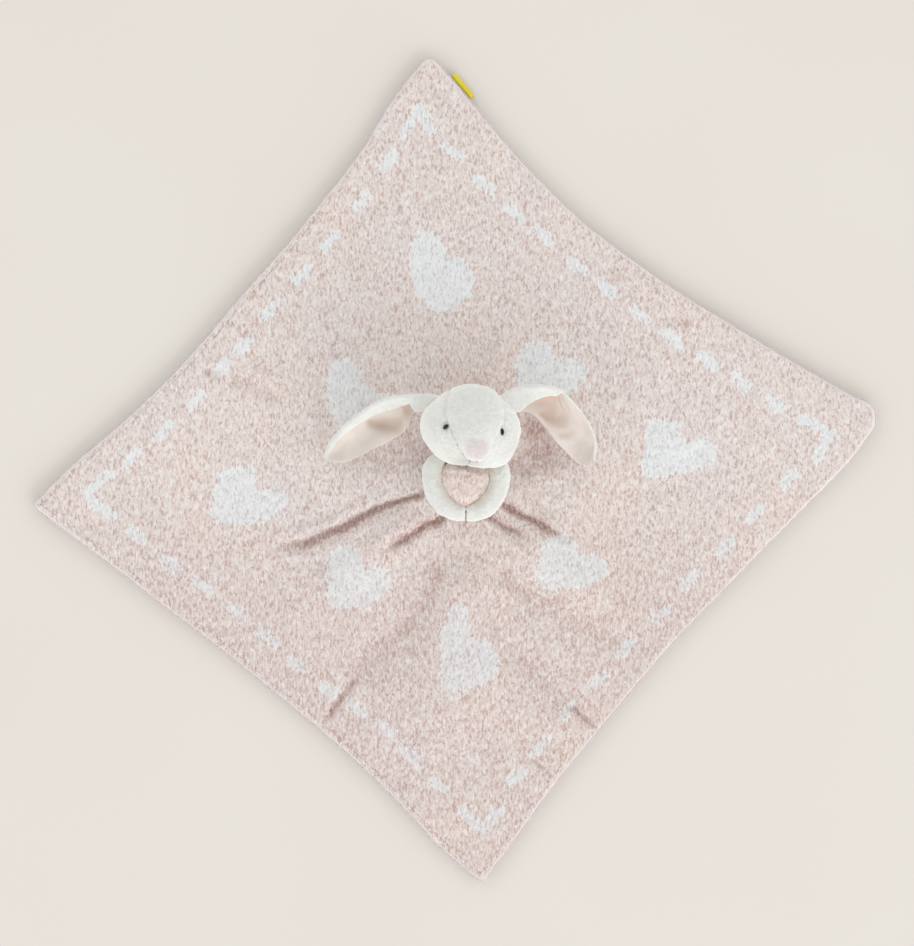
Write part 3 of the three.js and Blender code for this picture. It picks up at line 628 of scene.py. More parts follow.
BUNNY_DOWN, PRESSED_REACH = 14, (42, 66)
CREASE_WANDER = (1.6, 14.0, 41)  # reach, cell and seed
CREASE_RAGGED = ((0.9, 4.5, 47), (0.54, 2.2, 48))
CREASE_STEPS, CREASE_MARGIN, CREASE_PAINTED_SHADE = 24, 5, 0.2
CREASE_BEGIN, CREASE_END = (-0.02, 0.1), (0.6, 1.0)
# The low ridge beside a crease: height as a share of the depth, place and width in crease widths
BANK_HEIGHT, BANK_AT, BANK_WIDTH = 0.35, 2.3, 1.2
CLOTH_WAVES = ((0.5, 32.0, 51), (0.3, 15.0, 52))
LOWER_PAINTED_SHADE, LOWER_FROM = 0.17, (-10, 110)  # painted shade: the cloth below the bunny is painted a little darker and deeper pink


def crease_at(xy):
    """How far the creases and the cloth's soft unevenness move the front, and the share of painted shade in
    the creases, the pools and low on the cloth.
    """
    place_in_plane = flat_points(xy)
    moved = xy + warped(place_in_plane, *CREASE_WANDER, 2)
    ragged = rough(place_in_plane, CREASE_RAGGED)
    total, painted_shade = np.zeros(len(xy)), LOWER_PAINTED_SHADE * smooth(-xy[:, 1], *LOWER_FROM)
    for depth, width, line in CREASES:
        steps = curve_in_plane(line, CREASE_STEPS)
        near = around(moved, steps, CREASE_MARGIN * width)
        distance, place, _ = to_line(moved[near], steps)
        distance = np.abs(distance + ragged[near])
        fade = smooth(place, *CREASE_BEGIN) * (1 - smooth(place, *CREASE_END))
        bank = BANK_HEIGHT * hump(distance - BANK_AT * width, BANK_WIDTH * width)
        total[near] -= depth * fade * (hump(distance, width) - bank)
        painted_shade[near] = np.maximum(painted_shade[near], fade * hump(distance, width) * min(1.0, CREASE_PAINTED_SHADE * depth))
    for depth, tint, radius, x, y in POOLS:
        pool = hump(np.linalg.norm(moved - [x, y], axis=1), radius)
        total -= depth * pool
        painted_shade = np.maximum(painted_shade, tint * pool)
    total += rough(place_in_plane, CLOTH_WAVES)
    # Nothing stands up under the bunny, which presses the cloth flat
    pressed = 1 - smooth(np.linalg.norm(xy - NECK - [0, -BUNNY_DOWN], axis=1), *PRESSED_REACH)
    return total - pressed * np.maximum(total, 0), painted_shade


# White pattern: hearts as outlines, dashes and corner marks as short strokes

HEARTS = [
    [(-16.2, 159.2), (-10.9, 154.6), (-8.3, 147.3), (-5.0, 140.0), (1.0, 140.7), (7.0, 137.4), (10.9, 130.8),
     (10.9, 122.2), (8.9, 114.2), (1.0, 110.2), (-7.0, 104.9), (-16.2, 104.9), (-22.8, 111.6), (-28.1, 118.8),
     (-30.8, 128.1), (-30.8, 141.4), (-28.8, 151.3), (-23.5, 157.9)],
    [(-148.6, 2.3), (-139.4, 3.0), (-134.7, -0.3), (-132.7, -7.0), (-130.8, -12.9), (-122.2, -12.2),
     (-114.2, -13.6), (-112.2, -19.5), (-114.2, -26.8), (-122.2, -31.4), (-131.4, -34.8), (-143.3, -36.1),
     (-155.3, -36.7), (-161.2, -33.4), (-162.5, -25.5), (-161.2, -16.9), (-159.2, -8.3), (-155.3, -1.0)],
    [(129.4, 32.1), (140.0, 33.4), (148.0, 30.8), (148.6, 23.5), (151.9, 18.9), (161.2, 19.5), (169.2, 17.5),
     (173.1, 11.6), (170.5, 6.3), (166.5, 1.0), (157.2, -1.0), (148.0, -3.0), (137.4, -5.6), (129.4, -6.3),
     (124.8, -3.0), (123.5, 5.0), (124.8, 15.6), (124.1, 23.5)],
    [(3.0, -87.7), (7.6, -94.3), (8.3, -102.3), (10.3, -109.6), (18.2, -111.6), (24.8, -118.2),
     (27.5, -126.8), (24.8, -136.7), (18.2, -142.0), (8.9, -145.3), (-3.0, -146.7), (-8.9, -144.7),
     (-10.3, -132.7),
     (-10.9, -120.8), (-10.9, -108.9), (-7.0, -98.3), (-2.3, -91.7)],
    [(-83.8, 70.5), (-75.8, 73.2), (-67.9, 70.5), (-63.2, 63.2), (-59.9, 55.3), (-52.0, 52.6), (-45.4, 48.7),
     (-42.7, 42.0), (-48.0, 35.4), (-57.3, 29.5), (-69.2, 26.2), (-78.5, 29.5), (-83.8, 38.1), (-85.7, 49.3),
     (-85.7, 60.6)],
    [(48.7, 83.8), (58.6, 85.1), (63.2, 79.8), (65.9, 73.8), (75.1, 73.8), (84.4, 71.2), (87.1, 64.6),
     (81.8, 55.9), (71.8, 50.6), (58.6, 48.0), (45.4, 51.3), (39.4, 59.3), (39.4, 69.9), (42.7, 79.1)],
    [(-86.4, -59.9), (-79.8, -52.0), (-72.5, -50.0), (-65.9, -52.6), (-62.6, -59.9), (-59.3, -66.5),
     (-52.0, -63.2), (-45.4, -65.9), (-43.4, -73.2), (-47.3, -82.4), (-55.9, -88.4), (-69.2, -91.7),
     (-78.5, -93.0), (-84.4, -88.4), (-86.4, -76.5)],
    [(55.9, -47.3), (65.9, -42.0), (75.1, -44.0), (79.8, -50.0), (81.8, -55.3), (89.7, -55.3), (97.7, -59.9),
     (101.0, -66.5), (95.0, -73.8), (85.7, -77.8), (72.5, -79.1), (60.6, -79.8), (54.0, -77.1), (53.3, -66.5),
     (54.0, -56.6)],
]
DASH_HALF, DASH_RADIUS = 5.2, 3.5
DASHES = {
    (20.4, -18.6): [(-2.3, 210.2), (18.2, 188.4), (38.1, 169.8), (57.9, 154.6), (79.8, 134.1), (100.3, 119.5),
                    (121.5, 102.3), (142.7, 87.1), (166.5, 71.8), (188.4, 57.9), (211.5, 43.4)],
    (19.0, 21.8): [(-44.7, 204.3), (-63.2, 178.4), (-83.8, 151.9), (-102.3, 128.8), (-123.5, 105.6),
                   (-141.4, 82.4), (-155.3, 67.2), (-173.1, 46.0), (-194.3, 25.5), (-214.8, 8.3)],
    (20.1, -16.7): [(-212.2, -43.4), (-189.7, -61.9), (-167.8, -77.1), (-145.3, -93.7), (-124.8, -110.9),
                    (-105.6, -129.4), (-85.1, -146.0), (-66.5, -157.9), (-46.0, -172.5), (-30.1, -189.0),
                    (-10.9, -210.2)],
    (20.1, 21.9): [(220.8, -6.3), (197.6, -29.5), (177.8, -51.3), (154.6, -73.2), (135.4, -96.3),
                   (112.2, -118.2), (93.7, -140.0), (73.2, -159.9), (55.9, -183.1), (39.4, -203.6)],
}
CORNER_MARKS = [
    [(-34.8, 223.5), (-24.2, 238.7), (-17.5, 224.8)],
    [(-230.7, -3.6), (-246.6, -16.9), (-227.4, -31.4)],
    [(229.4, 33.4), (248.0, 24.2), (238.0, 7.0)],
    [(3.6, -226.1), (17.5, -238.7), (28.8, -226.1)],
]
CORNER_MARK_RADIUS, PATTERN_SOFT = 3.4, 4.4
PATTERN_WOBBLE = (1.1, 5.0, 61)  # reach, cell and seed
HEART_STEPS, HEART_MARGIN, DASH_ROOM, MARK_ROOM = 120, 6, 16, 40


def inside_distance(xy, outline):
    """Distance from a closed outline, positive inside it."""
    ring = np.vstack([outline, outline[:1]])
    distance, *_ = to_line(xy, ring)
    inside = np.zeros(len(xy), bool)
    for (ax, ay), (bx, by) in zip(ring[:-1], ring[1:]):
        crosses = (ay > xy[:, 1]) != (by > xy[:, 1])
        reach = ax + (xy[:, 1] - ay) * (bx - ax) / ((by - ay) or NO_LENGTH)
        inside ^= crosses & (xy[:, 0] < reach)
    return np.where(inside, distance, -distance)


def white_at(xy):
    """The share of white yarn at points of the front."""
    moved = xy + warped(flat_points(xy), *PATTERN_WOBBLE, 2)
    depth = np.full(len(xy), -FAR)

    def cover(near, amount):
        depth[near] = np.maximum(depth[near], amount)

    for heart in HEARTS:
        outline = curve_in_plane(heart + heart[:1], HEART_STEPS)[:-1]
        near = around(moved, outline, HEART_MARGIN)
        cover(near, inside_distance(moved[near], outline))
    for (dx, dy), middles in DASHES.items():
        half = unit(np.array([dx, dy])) * DASH_HALF
        for middle in np.array(middles):
            near = np.all(np.abs(moved - middle) < DASH_ROOM, axis=1)
            distance, *_ = to_line(moved[near], [middle - half, middle + half])
            cover(near, DASH_RADIUS - distance)
    for line in CORNER_MARKS:
        near = np.all(np.abs(moved - np.array(line[1])) < MARK_ROOM, axis=1)
        distance, *_ = to_line(moved[near], line)
        cover(near, CORNER_MARK_RADIUS - distance)
    return smooth(depth, -PATTERN_SOFT / 2, PATTERN_SOFT / 2)


def fill_sides(sides):
    """Points over the area between four sides that meet at their ends, in rows from the first side."""
    upper, right, lower, left = sides[0], sides[1], sides[2][::-1], sides[3][::-1]
    count = len(upper)
    u = np.linspace(0, 1, count)[None, :, None]
    v = np.linspace(0, 1, count)[:, None, None]
    across = (1 - v) * upper[None, :] + v * lower[None, :]
    down = (1 - u) * left[:, None] + u * right[:, None]
    flat = (1 - u) * (1 - v) * upper[0] + u * (1 - v) * upper[-1]
    flat = flat + (1 - u) * v * lower[0] + u * v * lower[-1]
    return (across + down - flat).reshape(-1, 2)


def border_of(count):
    """Numbers of the border points of a square grid, in the outline's order."""
    n = count + 1
    top = np.arange(0, count)
    right = np.arange(0, count) * n + count
    bottom = count * n + np.arange(count, 0, -1)
    left = np.arange(count, 0, -1) * n
    return np.concatenate([top, right, bottom, left])


def blanket_layer(name, fine, coarse, face, hidden, rim, material):
    """A closed layer: a fine grid for the face that shows, loops round the rim, and a coarse hidden face.
    face and hidden give heights at points, and rim the loops as (growth, height at points)."""
    step = fine // coarse
    fine_xy = fill_sides(inner_sides(fine))
    points = [np.column_stack([fine_xy, face(fine_xy)])]
    faces = [grid_faces(fine + 1, fine + 1)]
    border = border_of(fine)
    total = len(fine_xy)
    last = border
    for grow, height in rim:
        ring = ring_of(fine, grow)
        points.append(np.column_stack([ring, height(ring)]))
        here = total + np.arange(len(ring))
        faces.append(np.stack([last, here, np.roll(here, -1), np.roll(last, -1)], -1))
        total += len(ring)
        last = here
    coarse_xy = fill_sides(inner_sides(coarse))
    points.append(np.column_stack([coarse_xy, hidden(coarse_xy)]))
    faces.append(grid_faces(coarse + 1, coarse + 1, start=total)[:, ::-1])
    inner = total + border_of(coarse)
    middles = last[step // 2 :: step]
    triangles = [np.stack([inner, middles, np.roll(inner, -1)], -1)]
    for k in range(step):
        target = inner if k < step // 2 else np.roll(inner, -1)
        triangles.append(np.stack([last[k::step], np.roll(last, -1)[k::step], target], -1))
    return make_mesh(name, np.vstack(points) + ORIGIN, faces + triangles, material)


def inner_sides(count):
    ring = ring_of(count, -RIM_ROUND)
    ring = np.vstack([ring, ring[:1]])
    return [ring[k * count : (k + 1) * count + 1] for k in range(4)]


DEEPEST_CREASE = -2.4  # below the front's plain height
BACK_OFF_FLOOR = 0.3


def front_height(xy):
    top = np.maximum(lift_at(xy) + crease_at(xy)[0], DEEPEST_CREASE)
    return top + BACK_THICKNESS + SEAM_GAP + FRONT_THICKNESS


def front_under(xy):
    return lift_at(xy) + BACK_THICKNESS + SEAM_GAP


def back_under(xy):
    return np.maximum(lift_at(xy) + np.minimum(crease_at(xy)[0], 0), BACK_OFF_FLOOR)


def back_over(xy):
    return lift_at(xy) + BACK_THICKNESS


def rim_loops(face, seam, count, out, full):
    """Loops that round the rim off from a face to the seam. A full of 2 is an ellipse, more is fuller."""
    loops = []
    for angle in np.linspace(0, math.pi / 2, count + 1)[1:]:
        share = math.sin(angle) ** (2 / full)
        keep = max(math.cos(angle), 0.0) ** (2 / full)
        height = lambda xy, k=keep: face(xy) * k + seam(xy) * (1 - k)
        loops.append((-RIM_ROUND + (RIM_ROUND + out) * share, height))
    return loops


FRONT_CELLS, COARSE_CELLS = ((400, 100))


def front_seam(xy):
    return lift_at(xy) + SEAM_HEIGHT + SEAM_GAP / 2


def back_seam(xy):
    return lift_at(xy) + SEAM_HEIGHT - SEAM_GAP / 2


# The rims: how many loops, how far they stand out past the outline, and how full their round is
FRONT_RIM, BACK_RIM = (8, 0.3, 2.8), (6, 0.5, 2.2)
UNDER_RIM = -2.0  # where the last loop lies, inside the outline
RIM_STEPS, RIM_FADE, RIM_REACH, RIM_FLAT = 40, (0.4, 1.8), 30, 0.6
SHOWN_ABOVE_SEAM = 0.05
FRONT_PILE, BACK_PILE = (0.6, 3), (0.9, 9)  # height and seed

blanket_front = blanket_layer(
    "fleece_layer_front", FRONT_CELLS, COARSE_CELLS, front_height, front_under,
    rim_loops(front_height, front_seam, *FRONT_RIM) + [(UNDER_RIM, front_seam)], fleece_front,
)
blanket_back = blanket_layer(
    "fleece_layer_back", FRONT_CELLS // 2, COARSE_CELLS // 2, back_under, back_over,
    rim_loops(back_under, back_seam, *BACK_RIM) + [(UNDER_RIM, back_seam)], fleece_back,
)
blanket_front.data.flip_normals()


def settle(made, body, slot, *nodes, fill=None):
    """Hides the parts that a piece stands for and makes it move with a body. Its slot and fill are not used.
    """
    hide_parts(*nodes)
    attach(made, body)


def low_pile(points, seed):
    """The back's pile, pressed to below its plain height."""
    return 0.5 - 0.5 * fleece_pile(points, seed)


def finish_blanket():
    points = points_of(blanket_front)
    xy = points[:, :2] - ORIGIN[:2]
    top = points[:, 2] > front_seam(xy) + SHOWN_ABOVE_SEAM
    set_value(blanket_front, "white", white_at(points[:, :2] - PATTERN_SHIFT))
    from_rim = inside_distance(xy, ring_of(RIM_STEPS))
    rim = np.where(from_rim < RIM_REACH, 1 - smooth(from_rim, *RIM_FADE), 0)
    set_value(blanket_front, "rim", rim)
    # The painted shade of the creases, the pools and the cloth below the bunny
    set_value(blanket_front, "fold", crease_at(xy)[1])
    raise_pile(blanket_front, fleece_pile, *FRONT_PILE, np.where(top, 1 - RIM_FLAT * rim, 0.0))
    points = points_of(blanket_back)
    outer = points[:, 2] < back_seam(points[:, :2] - ORIGIN[:2]) - SHOWN_ABOVE_SEAM
    raise_pile(blanket_back, low_pile, *BACK_PILE, np.where(outer, 1.0, 0.0))


finish_blanket()
settle(blanket_front, "blanket", "fleece_pink", "blanket_front")
settle(blanket_back, "blanket", "fleece_white", "blanket_back")


# Lofts: closed skins through rings of equally many points

def loft(name, rings, material, loop=False):
    """A closed skin through rings, each a row of points. A stack is capped with a fan at each end."""
    rings = np.asarray(rings, float)
    count, sides = rings.shape[:2]
    points = rings.reshape(-1, 3)
    if loop:
        faces = [grid_faces(count + 1, sides, round_rows=True) % (count * sides)]
    else:
        points = np.vstack([points, rings[0].mean(0), rings[-1].mean(0)])
        ring = np.arange(sides)
        total = count * sides
        faces = [
            grid_faces(count, sides, round_rows=True),
            cap_faces(ring, total, turned=True),
            cap_faces(ring + total - sides, total + 1),
        ]
    made = make_mesh(name, points, faces, material)
    turn_outwards(made)
    return made


def turn_outwards(made):
    """Turns the faces over if the skin encloses a negative volume."""
    mesh = made.data
    mesh.calc_loop_triangles()
    corners = np.zeros(len(mesh.loop_triangles) * 3, np.int32)
    mesh.loop_triangles.foreach_get("vertices", corners)
    a, b, c = points_of(made)[corners.reshape(-1, 3)].transpose(1, 0, 2)
    if np.einsum("ij,ij->", a, np.cross(b, c)) < 0:
        mesh.flip_normals()


def frames_along(path, loop=False):
    """Directions aside of a path and upwards of it."""
    if loop:
        run = unit(np.roll(path, -1, 0) - np.roll(path, 1, 0))
    else:
        run = unit(np.gradient(path, axis=0))
    aside = unit(np.cross(run, [0, 0, 1]) + NO_LENGTH)
    return aside, np.cross(aside, run)


def rings_round(path, radius, aside, over, sides):
    """Rings of points round a path. The radius is one number or one for each point."""
    radius = np.broadcast_to(radius, len(path))[:, None, None]
    angle = np.linspace(0, 2 * math.pi, sides, endpoint=False)[None, :, None]
    return path[:, None] + radius * (np.cos(angle) * aside[:, None] + np.sin(angle) * over[:, None])


def tube(name, path, radius, sides, material, loop=False):
    """A round cord along a path."""
    return loft(name, rings_round(path, radius, *frames_along(path, loop), sides), material, loop)


def twisted(path, radius, pitch, turn):
    """The path of one ply that winds round a closed path."""
    aside, over = frames_along(path, loop=True)
    steps = np.linalg.norm(np.diff(path, axis=0, append=path[:1]), axis=1)
    length = steps.sum()
    windings = max(1, round(length / pitch))
    angle = (np.concatenate([[0], np.cumsum(steps)[:-1]]) / length * windings * 2 * math.pi + turn)[:, None]
    return path + radius * (np.cos(angle) * aside + np.sin(angle) * over)


def join(name, parts):
    """One object from several with the same material."""
    bpy.ops.object.select_all(action="DESELECT")
    for part in parts:
        part.select_set(True)
    bpy.context.view_layer.objects.active = parts[0]
    bpy.ops.object.join()
    parts[0].name = name
    parts[0].data.name = name
    return parts[0]


THREAD_SIDES = 6


def cord_of_two(name, path, winding, pitch, thickness):
    """A closed thread of two plies wound round each other."""
    plies = [
        tube("ply", twisted(path, winding, pitch, turn), thickness, THREAD_SIDES, thread_pale, loop=True)
        for turn in (0, math.pi)
    ]
    return join(name, plies)


# Head, in its own frame: X to the viewer's right, Y to the crown, Z out of the face

HEAD_HALF = np.array([32.0, 28.5, 26.0])
HEAD_AHEAD, HEAD_ASIDE = 19.6, 2.7
HEAD_ROLL, HEAD_YAW = math.radians(-5), math.radians(6)
CHEEK_BULGE, MUZZLE_BULGE, CROWN_TAPER, JAW_TAPER = 0.8, 6.2, 0.1, 0.06
CORNER_BULGE, CORNER_SPREAD = 5.2, 0.13
CORNER_AT, CORNER_WAY = np.array([0.66, -0.68, 0.3]), np.array([0.72, -0.5])
MUZZLE_AT, MUZZLE_TIGHT, CHEEK_TIGHT, CHEEK_SIDE = -0.42, 5, 6, 0.4
CROWN_FROM, JAW_FROM, JAW_MIDDLE = (0.15, 0.9), (0.2, 0.9), (0.05, 0.55)
CROWN_SHARE, JAW_SHARE, JAW_SQUARE = 0.96, 0.9, 0.07  # of the head's half length, above and below the eyes
HEAD_TURN = np.array(Euler((0, 0, HEAD_ROLL)).to_matrix()) @ np.array(Euler((0, HEAD_YAW, 0)).to_matrix())
HEAD_CENTRE = np.array([
    NECK[0] + HEAD_ASIDE,
    NECK[1] + HEAD_AHEAD,
    SEAT + math.hypot(HEAD_HALF[0] * math.sin(HEAD_YAW), HEAD_HALF[2] * math.cos(HEAD_YAW)),
])
NECK_RADIUS, NECK_SLIM, NECK_RISE, NECK_ROOM = 7.5, 5.5, 4.2, 2.6
NECK_PIVOT = np.array([NECK[0], NECK[1], SEAT + NECK_RISE])
GUSSET_ANGLES = np.radians([-180, -128, -110, -60, 0, 40, 62, 80, 99, 118, 131, 142, 149, 180])
GUSSET_HALVES = np.radians([0.1, 0.1, 8, 22, 34, 38.3, 38, 35.5, 27.4, 19.9, 14.5, 5.6, 0.1, 0.1])
SEAM_DEPTH, SEAM_WIDTH, PANEL_PUFF, PUFF_REACH = 0.4, 1.3, 0.3, 6
PANEL_INSIDE = -2.4  # how far the panels' inner side lies under the head's plain surface
SEAM_SCALE = 28  # the millimetres that one radian takes up on the head
COVER_PILE, COVER_FILL = (0.5, 21), 0.9


def head_point(direction, grow=0.0):
    """Points of the head's surface in its own frame, at directions from its middle, grown outwards."""
    x, y, z = direction.T
    point = direction * HEAD_HALF
    normal = unit(direction / HEAD_HALF)
    front = np.maximum(z, 0)
    cheek = np.exp(-CHEEK_TIGHT * y * y) * np.abs(x) * (CHEEK_SIDE + front)
    point[:, 0] *= 1 - CROWN_TAPER * smooth(y, *CROWN_FROM) - JAW_TAPER * smooth(-y, *JAW_FROM)
    point[:, 1] *= np.where(y > 0, CROWN_SHARE, JAW_SHARE + JAW_SQUARE * smooth(np.abs(x), *JAW_MIDDLE))
    point[:, 0] += np.sign(x) * CHEEK_BULGE * cheek
    point[:, 2] += MUZZLE_BULGE * front * np.exp(-MUZZLE_TIGHT * (x * x + (y - MUZZLE_AT) ** 2))
    corner = CORNER_BULGE * np.exp(-np.sum((direction - CORNER_AT) ** 2, 1) / CORNER_SPREAD)
    point[:, :2] += corner[:, None] * CORNER_WAY
    return point + normal * np.reshape(grow, (-1, 1))


def from_head(points):
    return points @ HEAD_TURN.T + HEAD_CENTRE + ORIGIN


def to_head(points):
    return (points - ORIGIN - HEAD_CENTRE) @ HEAD_TURN


GUSSET_TAPS = np.radians([-7, -3.5, 0, 3.5, 7])


def gusset_half(angle):
    """Half the middle panel's width, as an angle, evened out over a few degrees along it."""
    wrapped = [(angle + t + math.pi) % (2 * math.pi) - math.pi for t in GUSSET_TAPS]
    return np.mean([np.interp(w, GUSSET_ANGLES, GUSSET_HALVES) for w in wrapped], axis=0)


def face_direction(x, y):
    """The direction of a point of the face, from shares of half the head's width and length."""
    x, y = np.asarray(x, float), np.asarray(y, float)
    return np.stack([x, y, np.sqrt(np.maximum(1 - x * x - y * y, 0))], -1)


EYE_SPACING, EYE_UP = 36.5, -2.0
EYES = {
    side: face_direction([side * EYE_SPACING / 2 / HEAD_HALF[0]], [EYE_UP / HEAD_HALF[1]])
    for side in (-1, 1)
}
EYE_DIMPLE, EYE_DIMPLE_WIDTH = 1.5, 3.6
PUCKER = (0.18, 3.4, 71)  # height, cell and seed of the small puckers along the seams
PUCKER_REACH, HEAD_LUMPS = 2.6, ((0.45, 13.0, 72), (0.25, 6.5, 73))


def head_relief(direction, from_seam):
    """How far the plush stands off the plain head at directions, given distances from the nearest seam."""
    relief = PANEL_PUFF * (1 - np.exp(-from_seam / PUFF_REACH)) - SEAM_DEPTH * hump(from_seam, SEAM_WIDTH)
    plain = head_point(direction)
    relief += rough(plain, [PUCKER]) * np.exp(-from_seam / PUCKER_REACH) + rough(plain, HEAD_LUMPS)
    for eye in EYES.values():
        relief -= EYE_DIMPLE * hump(np.linalg.norm(plain - head_point(eye), axis=1), EYE_DIMPLE_WIDTH)
    return relief


# Painted shade: darker plush on the chin and low on the right cheek
CHIN_PAINTED_SHADE, CHIN_AT, CHIN_SIZE = 0.9, (-0.05, -0.86), (0.3, 0.2)
CHEEK_PAINTED_SHADE, CHEEK_RIGHT, CHEEK_LOW = 0.3, (0.5, 0.95), (-0.4, 0.5)
SEAM_CREAM, SEAM_CREAM_WIDTH = 0.26, 1.1


def set_plush_painted_shade(made):
    """Stores the painted shade that darkens the plush on the chin and low on the right cheek."""
    x, y, _ = unit(to_head(points_of(made)) / HEAD_HALF).T
    chin = CHIN_PAINTED_SHADE * hump(x - CHIN_AT[0], CHIN_SIZE[0]) * hump(y - CHIN_AT[1], CHIN_SIZE[1])
    cheek = CHEEK_PAINTED_SHADE * smooth(x, *CHEEK_RIGHT) * smooth(-y, *CHEEK_LOW)
    set_value(made, "plush_painted_shade", np.clip(chin + cheek, 0, 1))


def seam_cream(distance):
    """The warm tint of the left seam, where the roots of the pile show."""
    return SEAM_CREAM * hump(distance, SEAM_CREAM_WIDTH)


def seam_direction(aside, turn, side=1):
    """Directions at an angle aside of the head's middle plane, turned about the axis that crosses it."""
    return np.stack([side * np.sin(aside), np.cos(aside) * np.cos(turn), np.cos(aside) * np.sin(turn)], -1)


def cover_points(direction, from_seam, inside):
    """Points of a panel's outer side, with its relief, or of its plain inner side."""
    grow = PANEL_INSIDE if inside else head_relief(direction, from_seam)
    return from_head(head_point(direction, grow))


GUSSET_GRID = ((300, 84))  # points along and across
GUSSET_FROM, GUSSET_TO = math.radians(-126), math.radians(148)


def gusset_panel():
    rows, columns = GUSSET_GRID
    angle = np.linspace(GUSSET_FROM, GUSSET_TO, rows)
    half = gusset_half(angle)

    def strip(v, inside):
        direction = seam_direction(v[None, :] * half[:, None], angle[:, None]).reshape(-1, 3)
        seam = ((1 - np.abs(v))[None, :] * half[:, None] * SEAM_SCALE).ravel()
        return cover_points(direction, seam, inside).reshape(rows, len(v), 3)

    # Closer together towards the seams
    bent = np.sin(np.linspace(-math.pi / 2, math.pi / 2, columns))
    across = 0.5 * bent + 0.5 * np.linspace(-1, 1, columns)
    outer, inner = strip(across, False), strip(across[::-1][::3], True)
    gusset = loft("head_gusset_cover", np.concatenate([outer, inner], 1), plush)
    hidden = np.zeros((rows, inner.shape[1]))

    def spread(shown):
        return np.append(np.concatenate([shown, hidden], 1).ravel(), [0, 0])

    set_value(gusset, "cream", spread(seam_cream((across + 1)[None, :] * half[:, None] * SEAM_SCALE)))
    set_plush_painted_shade(gusset)
    raise_pile(gusset, plush_pile, *COVER_PILE, spread(np.ones((rows, columns))))
    settle(gusset, "head", "plush", "head_gusset", fill=COVER_FILL)


SIDE_GRID = ((84, 400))  # rings and points round each
SIDE_CROWDING, SIDE_END = 1.25, 0.992  # rings closer to the seam; how far to the panel's middle


def side_panel(name, side):
    rings, count = SIDE_GRID
    turn = np.linspace(-math.pi, math.pi, count, endpoint=False)
    edge = gusset_half(turn)
    width = math.pi / 2 - edge

    def ring(t, inside):
        return cover_points(seam_direction(edge + width * t, turn, side), t * width * SEAM_SCALE, inside)

    steps = np.linspace(0, 1, rings) ** SIDE_CROWDING * SIDE_END
    inside = [ring(t, True) for t in steps[::-3]]
    made = loft(f"head_{name}_cover", inside + [ring(t, False) for t in steps], plush)
    hidden = np.zeros(len(inside) * count)
    if name == "left":
        cream = seam_cream(steps[:, None] * width[None, :] * SEAM_SCALE)
        set_value(made, "cream", np.concatenate([hidden, cream.ravel(), [0, 0]]))
    set_plush_painted_shade(made)
    raise_pile(made, plush_pile, *COVER_PILE, np.concatenate([hidden, np.ones(rings * count), [0, 1]]))
    settle(made, "head", "plush", f"head_{name}_side", fill=COVER_FILL)


def ball_rings(rows, sides, point):
    """Rings of points over a ball of directions."""
    polar = np.linspace(0, math.pi, rows + 2)[1:-1]
    angle = np.linspace(0, 2 * math.pi, sides, endpoint=False)
    rings = []
    for p in polar:
        direction = np.stack([
            math.sin(p) * np.cos(angle), math.sin(p) * np.sin(angle), np.full(sides, math.cos(p))
        ], -1)
        rings.append(point(direction))
    return rings


WADDING_INSIDE, WADDING_LUMPS, WADDING_SPAN, WADDING_GRID = -3.4, (0.9, 6.0, 75), 30, (40, 64)


def head_wadding():
    def point(direction):
        lumps = rough(direction * WADDING_SPAN, [WADDING_LUMPS])
        return from_head(head_point(direction, lumps + WADDING_INSIDE))

    made = loft("head_wadding", ball_rings(*WADDING_GRID, point), wadding)
    settle(made, "head", "filling", "head_filling", fill=COVER_FILL)


gusset_panel()
side_panel("left", -1)
side_panel("right", 1)
head_wadding()


# Eyes, nose and mouth

EYE_LOOKS = {-1: ("left", 2.6, 4.4, 48), 1: ("right", 2.5, 4.6, -12)}  # name, width, length and tilt
EYE_PROUD, EYE_HALF_DEPTH, EYE_GRID = 0.35, 1.7, (22, 32)


def eye_beads():
    for side, (name, width, length, degrees) in EYE_LOOKS.items():
        direction = EYES[side][0]
        normal = unit(direction / HEAD_HALF)
        centre = head_point(EYES[side], EYE_PROUD - EYE_DIMPLE)[0]
        tilt = math.radians(degrees)
        along_face = np.array([math.sin(tilt), math.cos(tilt), 0.0])
        along_face = unit(along_face - normal * (along_face @ normal))
        aside = np.cross(along_face, normal)

        def point(d):
            x, y, z = (d * [width / 2, length / 2, EYE_HALF_DEPTH]).T[:, :, None]
            return from_head(centre + x * aside + y * along_face + z * normal)

        made = loft(f"{name}_eye_bead", ball_rings(*EYE_GRID, point), bead)
        settle(made, "head", "eye", f"{name}_eye")


NOSE_HALF = [(0.0, -0.52), (0.2, -0.48), (0.37, -0.31), (0.47, -0.06), (0.5, 0.17), (0.43, 0.39), (0.25, 0.5),
             (0.0, 0.5)]
NOSE_WIDTH, NOSE_LENGTH, NOSE_DOWN, NOSE_ASIDE = 19.2, 16.6, 15.9, 2.4
NOSE_STEPS, NOSE_SIDES, NOSE_FROM, NOSE_UNDER = 20, 96, 0.04, (1.0, 0.6, 0.2)
NOSE_BASE, NOSE_PUFF, NOSE_SINK, NOSE_UNDER_SHARE = 0.1, 0.9, -0.5, 0.97
NOSE_BORDER, NOSE_BORDER_FROM, NOSE_PILE, NOSE_FILL = 0.92, (0.5, 0.98), (0.5, 23), 0.7


